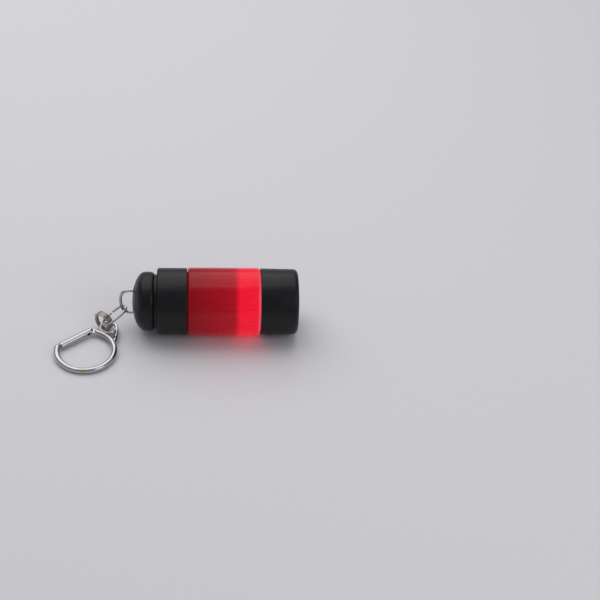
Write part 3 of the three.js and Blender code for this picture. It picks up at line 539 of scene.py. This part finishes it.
def bent(name, path, radius, across, loop=False, sides=24, dome=1.0):
    """Bends a round wire along a path in millimetres. Each ring of the skin stands square to the path,
    turned so that one of its arms follows `across`; open ends close in a quarter circle."""
    path = np.asarray(path, float)
    if loop:
        tangent = np.roll(path, -1, 0) - np.roll(path, 1, 0)
    else:
        tangent = np.gradient(path, axis=0)
    tangent /= np.linalg.norm(tangent, axis=1)[:, None]
    radius = np.broadcast_to(np.asarray(radius, float), len(path)).copy()
    across = np.broadcast_to(across, path.shape)
    if not loop:
        turn = np.linspace(0, np.pi / 2, 7)[:-1]
        start = path[0] - np.outer(dome * radius[0] * np.cos(turn), tangent[0])
        end = path[-1] + np.outer(dome * radius[-1] * np.cos(turn[::-1]), tangent[-1])
        path = np.concatenate([start, path, end])
        tangent = np.concatenate([np.repeat(tangent[:1], 6, 0), tangent, np.repeat(tangent[-1:], 6, 0)])
        across = np.concatenate([np.repeat(across[:1], 6, 0), across, np.repeat(across[-1:], 6, 0)])
        radius = np.concatenate([radius[0] * np.sin(turn), radius, radius[-1] * np.sin(turn[::-1])])
    side = np.cross(tangent, across)
    side /= np.linalg.norm(side, axis=1)[:, None]
    rise = np.cross(side, tangent)
    angle = np.linspace(0, 2 * np.pi, sides, endpoint=False)
    circle = np.cos(angle)[:, None] * side[:, None] + np.sin(angle)[:, None] * rise[:, None]
    return surface(name, path[:, None] + radius[:, None, None] * circle, loop)


SPRING_LOW, SPRING_HIGH, _ = stations("contact_spring")
SPRING_WIRE, SPRING_TURNS, SPRING_RADIUS = 0.25, 3, 2.6
spring_share = np.linspace(0, 1, 48 * SPRING_TURNS)
spring_angle = 2 * np.pi * SPRING_TURNS * spring_share
spring_x = SPRING_LOW + SPRING_WIRE + (SPRING_HIGH - SPRING_LOW - 2 * SPRING_WIRE) * spring_share
spring_y = SPRING_RADIUS * np.cos(spring_angle)
spring_z = CENTRE[2] + SPRING_RADIUS * np.sin(spring_angle)
spring_path = np.stack([spring_x, spring_y, spring_z], 1)
spring = bent("contact_coil", spring_path, SPRING_WIRE, ALONG, sides=12, dome=0.3)
settle(spring, nickel, "led_module", "nickel_wire", "contact_spring")

# ---------------------------------------------------------------- head
# A turned-looking shell of black ABS, moulded with a fine spark texture, screws on the barrel's front
# collar. It holds the mirror-coated reflector, a seal and the clear lens against its front rim.
abs_black = finish("black_satin_abs", Roughness=0.38, Specular_IOR_Level=0.3)
abs_spot = place(abs_black)
abs_cloud = noise(abs_black, abs_spot, 0.5, detail=5.0)
abs_spark = noise(abs_black, abs_spot, 11.0)
drive(abs_black, "Base Color", tint(abs_black, abs_cloud, (0.0025, 0.0025, 0.003), (0.007, 0.007, 0.008)))
drive(abs_black, "Roughness", spread(abs_black, abs_cloud, (0.3, 0.7), (0.3, 0.44)))
abs_handling = noise(abs_black, place(abs_black, stretch=(0.25, 1, 1)), 3.5, detail=6.0)
relief(abs_black, (abs_spark, 0.012), (spread(abs_black, abs_handling, (0.66, 0.72), (0.0, 1.0)), 0.004))

HEAD_START, HEAD_END, HEAD_RADIUS = stations("head_shell")
LENS_START, LENS_END, LENS_RADIUS = stations("lens")
HEAD_BORE, HEAD_SEAT = COLLAR_RADIUS + SLIP, LENS_RADIUS + SLIP
WINDOW_LIP, RIM_DEPTH, TUBE_PLAY = 1.0, 0.8, 0.8
HEAD_WINDOW = HEAD_SEAT - WINDOW_LIP
HEAD_SEAT_FROM = TUBE_END + TUBE_PLAY
head_outline = eased(
    [
        (HEAD_START, HEAD_BORE, 0.1),
        (HEAD_START, HEAD_RADIUS, 0.35),
        (HEAD_END, HEAD_RADIUS - 0.25, 2.4),
        (HEAD_END, HEAD_WINDOW, 0.25),
        (HEAD_END - RIM_DEPTH, HEAD_WINDOW, 0.08),
        (HEAD_END - RIM_DEPTH, HEAD_SEAT, 0.08),
        (HEAD_SEAT_FROM, HEAD_SEAT, 0.1),
        (HEAD_SEAT_FROM, HEAD_BORE, 0.1),
    ]
)
head_housing = turned("head_housing", head_outline, sides=144)
settle(head_housing, abs_black, "head", "black_abs", "head_shell")

lens_outline = rod(LENS_START, LENS_END, LENS_RADIUS, 0.12)
settle(turned("front_lens", lens_outline), clear, "head", "clear_polycarbonate", "lens")
GASKET_START, GASKET_END, GASKET_RADIUS = stations("lens_gasket")
gasket_outline = rod(GASKET_START, GASKET_END, GASKET_RADIUS, 0.15, HEAD_WINDOW, 0.15)
settle(turned("lens_seal", gasket_outline), rubber, "head", "seal_rubber", "lens_gasket")

mirror = finish("vacuum_mirror_coat", Metallic=1.0, Roughness=0.06)
mirror_peel = noise(mirror, place(mirror), 1.3, detail=4.0)
drive(mirror, "Base Color", tint(mirror, mirror_peel, (0.86, 0.87, 0.9), (0.94, 0.94, 0.96)))
drive(mirror, "Roughness", spread(mirror, mirror_peel, (0.3, 0.7), (0.04, 0.12)))
relief(mirror, (mirror_peel, 0.015))
BOWL_START, BOWL_END, BOWL_RADIUS = stations("reflector")
BOWL_MOUTH, BOWL_THROAT, BOWL_BODY, FLANGE = HEAD_WINDOW - 0.2, 5.2, HEAD_WINDOW - 0.15, 0.6
bowl_share = np.linspace(1, 0, 20)
bowl_inside = [
    (BOWL_END - (BOWL_END - BOWL_START) * t, BOWL_MOUTH - (BOWL_MOUTH - BOWL_THROAT) * t**2, 0)
    for t in bowl_share[::-1]
]
bowl_outline = eased(
    [
        (BOWL_START, BOWL_BODY, 0.2),
        (BOWL_END - FLANGE, BOWL_BODY, 0.1),
        (BOWL_END - FLANGE, BOWL_RADIUS, 0.1),
        (BOWL_END, BOWL_RADIUS, 0.1),
        *bowl_inside,
    ]
)
settle(turned("reflector_bowl", bowl_outline), mirror, "head", "mirror_coat", "reflector")
KEEPER_START, KEEPER_END, KEEPER_RADIUS = stations("retaining_ring")
KEEPER_BORE = BOWL_BODY + 0.3
keeper_outline = rod(KEEPER_START, KEEPER_END, KEEPER_RADIUS, 0.15, KEEPER_BORE, 0.1)
settle(turned("reflector_keeper", keeper_outline), abs_black, "head", "black_abs", "retaining_ring")

# ---------------------------------------------------------------- tail cap
# The cap is moulded in the same black ABS: a sleeve over the collar, a neck groove and a domed knob. A
# slot across the knob's end holds the ring link on a steel pin pressed through from the side.
JOINTS = {joint["name"]: joint for joint in frame["joints"]}


def hinge(name):
    """A joint's place in millimetres and its axis."""
    return np.array(JOINTS[name]["pos_m"]) / MM, np.array(JOINTS[name]["axis"], float)


_, CAP_END, CAP_RADIUS = stations("tail_cap")
PIN_PLACE, PIN_ALONG = hinge("ring_swing")
SLEEVE_LENGTH, SLEEVE_STEP = 10.25, 1.05  # the sleeve, and the wall at its inner end
KNOB_STEP, PLUG_PLAY, PIN_INSET = 1.3, 0.2, 1.25
SLEEVE_START = CAP_END - SLEEVE_LENGTH
KNOB_RADIUS, NECK_RADIUS, WELL_RADIUS = CAP_RADIUS - KNOB_STEP, 9.13, 6.74
WELL_FLOOR = PLUG_LOW[0] - PLUG_PLAY
NECK_FLAT, NECK_SLOPE, KNOB_CROWN = 0.9, 1.6, 4.4
CAP_TIP = PIN_PLACE[0] - PIN_INSET
knob_front = SLEEVE_START - NECK_SLOPE - NECK_FLAT
slope_turn = np.linspace(np.pi / 2, 0, 12)
crown_turn = np.linspace(0, np.pi / 2, 24)
crown = np.stack([CAP_TIP + KNOB_CROWN * (1 - np.cos(crown_turn)), KNOB_RADIUS * np.sin(crown_turn)], 1)
neck_slope = [
    (knob_front + NECK_SLOPE * np.cos(a), NECK_RADIUS + (KNOB_RADIUS - NECK_RADIUS) * np.sin(a), 0)
    for a in slope_turn
]
cap_outline = eased(
    [
        *[(x, r, 0) for x, r in crown],
        *neck_slope,
        (SLEEVE_START, NECK_RADIUS, 0.2),
        (SLEEVE_START, CAP_RADIUS, 0.8),
        (CAP_END, CAP_RADIUS, 0.35),
        (CAP_END, HEAD_BORE, 0.1),
        (SLEEVE_START + SLEEVE_STEP, HEAD_BORE, 0.2),
        (SLEEVE_START + SLEEVE_STEP, WELL_RADIUS, 0.2),
        (WELL_FLOOR, WELL_RADIUS, 0.3),
        (WELL_FLOOR, 0, 0),
    ]
)
SLOT_HALF_WIDTH, SLOT_HALF_HEIGHT = 1.2, 6.0
SLOT_WEB = 0.85  # what is left between the slot and the well
SLOT_FLOOR = WELL_FLOOR - SLOT_WEB
slot = bar(
    "cutter",
    (CAP_TIP - CUT, -SLOT_HALF_WIDTH, CENTRE[2] - SLOT_HALF_HEIGHT),
    (SLOT_FLOOR, SLOT_HALF_WIDTH, CENTRE[2] + SLOT_HALF_HEIGHT),
    0.35,
)
PIN_LOW, PIN_HIGH = (np.array(corner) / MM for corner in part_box("ring_pin"))
PIN_HALF, PIN_RADIUS = PIN_HIGH[1], (PIN_HIGH[2] - PIN_LOW[2]) / 2
PIN_HOLE_PAST, PIN_PLAY = 0.15, 0.1  # how much longer and wider the hole is than the pin
pin_hole = rod(-PIN_HALF - PIN_HOLE_PAST, PIN_HALF + PIN_HOLE_PAST, PIN_RADIUS + PIN_PLAY, 0)
cap_body = turned("cap_body", cap_outline, sides=144)
carved(cap_body, slot, turned("cutter", pin_hole, 32, PIN_PLACE, PIN_ALONG))
settle(cap_body, abs_black, "tail_cap", "black_abs", "tail_cap")
pin_outline = rod(-PIN_HALF, PIN_HALF, PIN_RADIUS, 0.15)
link_pin = turned("link_pin", pin_outline, 32, PIN_PLACE, PIN_ALONG)
settle(link_pin, steel, "tail_cap", "stamped_steel", "ring_pin")

# ---------------------------------------------------------------- chain
# Three pieces of bright nickel-plated wire: a squarish link on the cap's pin, a small oval link, and a
# split ring of just over two and a half turns. Each is bent and butted, not soldered, as the wire of
# cheap key chains is.
UP = np.array([0.0, 0.0, 1.0])
LINK_WIRE, LINK_HALF_HEIGHT, LINK_HALF_LENGTH, LINK_SQUARENESS = 0.49, 4.5, 3.25, 2.6
LINK_BEHIND_PIN = 1.35
LINK_SAG = np.radians(5)
LINK_BUTT = 5  # degrees from the middle of its end behind the pin to each butted end of its wire


def squared(angle, squareness):
    """Cosine and sine bent into a rounded square: each keeps its sign and takes the power 2 / squareness."""
    c, s = np.cos(angle), np.sin(angle)
    power = 2 / squareness
    return np.sign(c) * np.abs(c) ** power, np.sign(s) * np.abs(s) ** power


def even(path, count):
    """The same open path with its points set at even distances."""
    step = np.concatenate([[0], np.cumsum(np.linalg.norm(np.diff(path, axis=0), axis=1))])
    want = np.linspace(0, step[-1], count)
    return np.stack([np.interp(want, step, path[:, k]) for k in range(3)], 1)


link_angle = np.radians(LINK_BUTT + (360 - 2 * LINK_BUTT) * np.linspace(0, 1, 1500))
link_c, link_s = squared(link_angle, LINK_SQUARENESS)
link_x = LINK_BEHIND_PIN + LINK_HALF_LENGTH * (link_c - 1)
link_z = LINK_HALF_HEIGHT * link_s
link_path = PIN_PLACE + np.stack(
    [
        link_x * np.cos(LINK_SAG) - link_z * np.sin(LINK_SAG),
        0 * link_x,
        link_x * np.sin(LINK_SAG) + link_z * np.cos(LINK_SAG),
    ],
    1,
)
link = bent("square_link", even(link_path, 150), LINK_WIRE, PIN_ALONG, dome=0.3)
settle(link, nickel, "ring_link", "nickel_wire", "ring_link")

SPLIT_WIRE, SPLIT_RADIUS, SPLIT_PITCH, SPLIT_TURNS, SPLIT_START = 0.39, 3.1, 0.86, 2.6, 40
SPLIT_HEADING = np.radians(140)
SPLIT_HOLD_AT = np.radians(148)
LINK_HOLD, _ = hinge("small_link_swing")
SPLIT_HOLD, _ = hinge("split_ring_swing")
heading = np.array([np.cos(SPLIT_HEADING), np.sin(SPLIT_HEADING), 0.0])
split_side = np.cross(heading, UP)
split_centre = SPLIT_HOLD - SPLIT_RADIUS * (np.cos(SPLIT_HOLD_AT) * heading + np.sin(SPLIT_HOLD_AT) * UP)
split_share = np.linspace(0, 1, 220)[:, None]
split_angle = np.radians(SPLIT_START + 360 * SPLIT_TURNS * split_share)
split_path = (
    split_centre
    + SPLIT_RADIUS * (np.cos(split_angle) * heading + np.sin(split_angle) * UP)
    + SPLIT_PITCH * SPLIT_TURNS * (split_share - 0.5) * split_side
)
split = bent("double_ring", split_path, SPLIT_WIRE, split_side, sides=20, dome=0.7)
settle(split, nickel, "split_ring", "nickel_wire", "split_ring")

SMALL_WIRE, SMALL_HALF_WIDTH, SMALL_SQUARENESS = 0.41, 1.9, 2.5
SMALL_PAST_LINK, SMALL_PAST_SPLIT = 1.17, 2.28  # how far it runs past the places where it hangs
SMALL_BUTT = 2  # degrees from the middle of its side to each butted end of its wire
small_along = LINK_HOLD - SPLIT_HOLD
small_along /= np.linalg.norm(small_along)
small_across = np.cross(UP, small_along)
small_across /= np.linalg.norm(small_across)
small_near = LINK_HOLD + small_along * SMALL_PAST_LINK
small_far = SPLIT_HOLD - small_along * SMALL_PAST_SPLIT
small_half = np.linalg.norm(small_near - small_far) / 2
small_angle = np.radians(90 + SMALL_BUTT + (360 - 2 * SMALL_BUTT) * np.linspace(0, 1, 1500))
small_c, small_s = squared(small_angle, SMALL_SQUARENESS)
small_path = (small_near + small_far) / 2 + np.outer(small_half * small_c, small_along)
small_path = small_path + np.outer(SMALL_HALF_WIDTH * small_s, small_across)
small_rise = np.cross(small_along, small_across)
small = bent("small_oval_link", even(small_path, 120), SMALL_WIRE, small_rise, sides=20, dome=0.3)
settle(small, nickel, "small_link", "nickel_wire", "small_link")

# ---------------------------------------------------------------- hook
# The hook is thick wire bent to an oval and chromed. Its eye, which holds the split ring, is fused on
# and joined to the oval by a short neck wire. Its nose ends in a ball, and a flat lug with a pin hole
# takes over from the wire at the gate.
chrome = finish("bright_chrome_plate", Metallic=1.0, Roughness=0.12)
chrome_scuffs = noise(chrome, place(chrome, stretch=(1, 1, 2.5)), 3.0, detail=6.0)
chrome_worn = spread(chrome, noise(chrome, place(chrome), 0.22), (0.56, 0.7), (0.0, 0.6))
drive(chrome, "Base Color", tint(chrome, chrome_worn, (0.52, 0.51, 0.52), (0.5, 0.38, 0.2)))
drive(chrome, "Roughness", spread(chrome, chrome_scuffs, (0.4, 0.75), (0.07, 0.3)))
relief(chrome, (chrome_scuffs, 0.01), (noise(chrome, place(chrome), 0.9), 0.02))

HOOK_WIRE, HOOK_HALF_WIDTH, HOOK_HALF_LENGTH = 1.0, 9.6, 10.3
HOOK_NOSE, HOOK_PIVOT, HOOK_EYE_AT = np.radians([172, 84, 59])
EYE_RADIUS, EYE_WIRE, NECK_AT = 2.8, 0.65, np.radians(20)
LUG_RADIUS, LUG_THICK, GATE_RADIUS, GATE_PIN_RADIUS = 1.25, 0.9, 1.15, 0.4
LUG_EDGE, LUG_HOLE, LUG_NARROWED, LUG_LAP = 0.15, 0.5, 0.85, np.radians(3)
NECK_FOOT_WIRE, NOSE_SWELL = 0.85, 1.1
GATE_PLACE, GATE_ALONG = hinge("gate_open")
EYE_RIM, _ = hinge("hook_swing")
eye_centre = EYE_RIM - EYE_RADIUS * heading
hook_x = np.array([1.0, 0.0, 0.0])
hook_z = GATE_ALONG
hook_y = np.cross(hook_z, hook_x)


def oval(angle):
    """Points of the hook's oval, measured from the oval's middle, in the hook's own plane."""
    angle = np.asarray(angle, float)[..., None]
    return HOOK_HALF_WIDTH * np.cos(angle) * hook_x + HOOK_HALF_LENGTH * np.sin(angle) * hook_y


oval_out = HOOK_HALF_LENGTH * np.cos(HOOK_EYE_AT) * hook_x + HOOK_HALF_WIDTH * np.sin(HOOK_EYE_AT) * hook_y
oval_out /= np.linalg.norm(oval_out)
oval_centre = eye_centre - oval(HOOK_EYE_AT) - oval_out * (EYE_RADIUS + HOOK_WIRE)
wire_stop = HOOK_PIVOT - (GATE_RADIUS + LUG_RADIUS) / HOOK_HALF_WIDTH
hook_share = np.linspace(0, 1, 200)
hook_path = oval_centre + oval(HOOK_NOSE + (wire_stop + 2 * np.pi - HOOK_NOSE) * hook_share)
hook_wire = bent("hook_wire", hook_path, HOOK_WIRE, hook_z, sides=32)
settle(hook_wire, chrome, "hook", "chrome_plate", "hook_frame")
eye_turn = np.linspace(0, 2 * np.pi, 96, endpoint=False)
eye_path = eye_centre + EYE_RADIUS * (np.outer(np.cos(eye_turn), hook_x) + np.outer(np.sin(eye_turn), hook_y))
hook_eye = bent("hook_eye", eye_path, EYE_WIRE, hook_z, loop=True)
settle(hook_eye, chrome, "hook", "chrome_plate", "hook_frame")
neck_top = eye_centre + EYE_RADIUS * hook_x
neck_foot = oval_centre + oval(NECK_AT)
neck_middle = neck_top + hook_y * np.dot(neck_foot - neck_top, hook_y) / 2
t = np.linspace(0, 1, 40)[:, None]
neck_path = (1 - t) * (1 - 2 * t) * neck_top + 4 * t * (1 - t) * neck_middle + t * (2 * t - 1) * neck_foot
hook_neck = bent("hook_neck", neck_path, np.linspace(EYE_WIRE, NECK_FOOT_WIRE, 40), hook_z)
settle(hook_neck, chrome, "hook", "chrome_plate", "hook_frame")

nose = oval_centre + oval(HOOK_NOSE)
nose_turn = np.linspace(0, np.pi, 24)
nose_outline = NOSE_SWELL * HOOK_WIRE * np.stack([-np.cos(nose_turn), np.sin(nose_turn)], 1)
nose_outline[[0, -1], 1] = 0
nose_ball = turned("hook_nose", nose_outline, 40, nose, hook_z)
settle(nose_ball, chrome, "hook", "chrome_plate", "hook_frame")

lug_end = oval_centre + oval(wire_stop - LUG_LAP)
lug_run = lug_end - GATE_PLACE
lug_length = np.linalg.norm(lug_run)
lug_run /= lug_length
lug_side = np.cross(hook_z, lug_run)
lug_turn = np.linspace(0, 2 * np.pi, 96, endpoint=False)
lug_reach = np.where(np.cos(lug_turn) > 0, lug_length, 0)
lug_rows = []
for height, inset in ((-1, LUG_EDGE), (-0.7, 0), (0.7, 0), (1, LUG_EDGE)):
    rim = (LUG_RADIUS - inset) * np.stack([np.cos(lug_turn), LUG_NARROWED * np.sin(lug_turn)], 1)
    row = np.outer(rim[:, 0] + lug_reach, lug_run) + np.outer(rim[:, 1], lug_side)
    lug_rows.append(GATE_PLACE + row + hook_z * height * LUG_THICK / 2)
hole = LUG_HOLE * np.stack([np.cos(lug_turn), np.sin(lug_turn)], 1)
for height in (1, -1):
    row = np.outer(hole[:, 0], lug_run) + np.outer(hole[:, 1], lug_side)
    lug_rows.append(GATE_PLACE + row + hook_z * height * LUG_THICK / 2)
settle(surface("gate_lug", np.array(lug_rows), loop=True), chrome, "hook", "chrome_plate", "hook_frame")
gate_pin_low, gate_pin_high = (np.array(corner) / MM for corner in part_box("gate_pin"))
pin_half = (gate_pin_high[2] - gate_pin_low[2]) / 2
gate_pin_outline = rod(-pin_half, pin_half, GATE_PIN_RADIUS, 0.12)
gate_rivet = turned("gate_rivet", gate_pin_outline, 32, GATE_PLACE, hook_z)
settle(gate_rivet, steel, "hook", "stamped_steel", "gate_pin")

# ---------------------------------------------------------------- gate
# A short round bar, chromed, forked over the lug and riveted to it. A small coil spring in a bore
# behind the fork presses it shut against the nose.
GATE_FORK, FORK_HALF, GATE_BORE, GATE_BORE_LENGTH = 1.9, 0.57, 0.65, 4.5
GATE_PLAY = 0.2  # gap between the gate's end and the hook's wire
FORK_REACH = 3  # further out than the gate's wall
BORE_INTO_FORK = 0.5
gate_run = nose - GATE_PLACE
gate_length = np.linalg.norm(gate_run)
gate_run /= gate_length
gate_end = gate_length - HOOK_WIRE - GATE_PLAY
gate_side = np.cross(hook_z, gate_run)
gate_rear = np.linspace(-np.pi / 2, 0, 12)
gate_outline = np.concatenate(
    [
        np.stack([GATE_RADIUS * np.sin(gate_rear), GATE_RADIUS * np.cos(gate_rear)], 1),
        eased([(0.2, GATE_RADIUS, 0), (gate_end, GATE_RADIUS, 0.3), (gate_end, 0, 0)])[ARC_STEPS - 1 :],
    ]
)
gate_outline[0, 1] = gate_outline[-1, 1] = 0
gate_bar = turned("gate_bar", gate_outline, 48, GATE_PLACE, gate_run)
fork_rows = []
fork_square = np.array([(-1, -1), (1, -1), (1, 1), (-1, 1)]) * (FORK_REACH, FORK_HALF)
for x, size in ((-FORK_REACH, 0), (-FORK_REACH, 1), (GATE_FORK, 1), (GATE_FORK, 0)):
    across, through = (fork_square * size).T
    fork_rows.append(
        GATE_PLACE + x * gate_run + np.outer(across, gate_side) + np.outer(through, hook_z)
    )
fork = surface("cutter", np.array(fork_rows))
bore_start, bore_end = GATE_FORK - BORE_INTO_FORK, GATE_FORK + GATE_BORE_LENGTH
bore_outline = np.array([(bore_start, 0), (bore_start, GATE_BORE), (bore_end, GATE_BORE), (bore_end, 0)])
pin_bore_outline = np.array([(-1, 0), (-1, 1), (1, 1), (1, 0)]) * (FORK_REACH, LUG_HOLE)
carved(
    gate_bar,
    fork,
    turned("cutter", bore_outline, 32, GATE_PLACE, gate_run),
    turned("cutter", pin_bore_outline, 32, GATE_PLACE, hook_z),
)
settle(gate_bar, chrome, "gate", "chrome_plate", "gate")
COIL_WIRE, COIL_TURNS, COIL_PLAY = 0.13, 5, 0.1
COIL_FROM, COIL_SHORTER = 0.2, 0.53  # where it starts past the fork, and how much shorter it is than the bore
coil_share = np.linspace(0, 1, 150)[:, None]
coil_angle = 2 * np.pi * COIL_TURNS * coil_share
coil_radius = GATE_BORE - COIL_WIRE - COIL_PLAY
coil_path = (
    GATE_PLACE
    + (GATE_FORK + COIL_FROM + (GATE_BORE_LENGTH - COIL_SHORTER) * coil_share) * gate_run
    + coil_radius * (np.cos(coil_angle) * gate_side + np.sin(coil_angle) * hook_z)
)
gate_coil = bent("gate_coil", coil_path, COIL_WIRE, gate_run, sides=10, dome=0.3)
settle(gate_coil, nickel, "gate", "nickel_wire", "gate_spring")

# ---------------------------------------------------------------- table, light and camera
# The torch lies on a plain pale sheet under one large soft light, with a weaker one behind and an even
# grey surround, and is seen from above its side.
paper = finish("pale_paper", Roughness=0.7)
paper_grain = noise(paper, place(paper), 0.6, detail=5.0)
drive(paper, "Base Color", tint(paper, paper_grain, (0.78, 0.77, 0.79), (0.82, 0.81, 0.83)))
bpy.ops.mesh.primitive_plane_add(size=6)
table = bpy.context.object
table.name = "pale_table"
table.data.materials.append(paper)

world = bpy.data.worlds.new("soft_surround")
world.use_nodes = True
world.node_tree.nodes["Background"].inputs[0].default_value = (0.9, 0.92, 1.0, 1)
world.node_tree.nodes["Background"].inputs[1].default_value = 0.32
bpy.context.scene.world = world

for name, spot, size, power in (
    ("key_panel", (-0.12, 0.3, 0.6), 0.9, 3.2),
    ("side_panel", (0.35, -0.3, 0.3), 0.3, 0.35),
):
    light = bpy.data.lights.new(name, "AREA")
    light.size, light.energy = size, power
    holder = bpy.data.objects.new(name, light)
    bpy.context.scene.collection.objects.link(holder)
    aim = Vector((-0.01, 0, 0.01)) - Vector(spot)
    holder.location = spot
    holder.rotation_euler = aim.to_track_quat("-Z", "Y").to_euler()

CAMERA_AZIMUTH, CAMERA_ELEVATION, CAMERA_ROLL = np.radians([-5.28, 36.0, 3.32])
CAMERA_TARGET = np.array([0.0260, 0.0, 0.01218])
CAMERA_DISTANCE = 0.512
back = np.array(
    [
        np.sin(CAMERA_AZIMUTH) * np.cos(CAMERA_ELEVATION),
        -np.cos(CAMERA_AZIMUTH) * np.cos(CAMERA_ELEVATION),
        np.sin(CAMERA_ELEVATION),
    ]
)
level = np.cross(UP, back)
level /= np.linalg.norm(level)
upright = np.cross(back, level)
right = np.cos(CAMERA_ROLL) * level + np.sin(CAMERA_ROLL) * upright
above = np.cos(CAMERA_ROLL) * upright - np.sin(CAMERA_ROLL) * level
camera = bpy.data.objects.new("camera", bpy.data.cameras.new("camera"))
camera.data.lens, camera.data.sensor_width = 90, 36
camera.data.clip_start, camera.data.clip_end = 0.01, 20
spot = CAMERA_TARGET + back * CAMERA_DISTANCE
camera.matrix_world = Matrix([[*row] for row in np.column_stack([right, above, back, spot])] + [[0, 0, 0, 1]])
bpy.context.scene.collection.objects.link(camera)
bpy.context.scene.camera = camera
bpy.context.scene.view_settings.view_transform = "Standard"
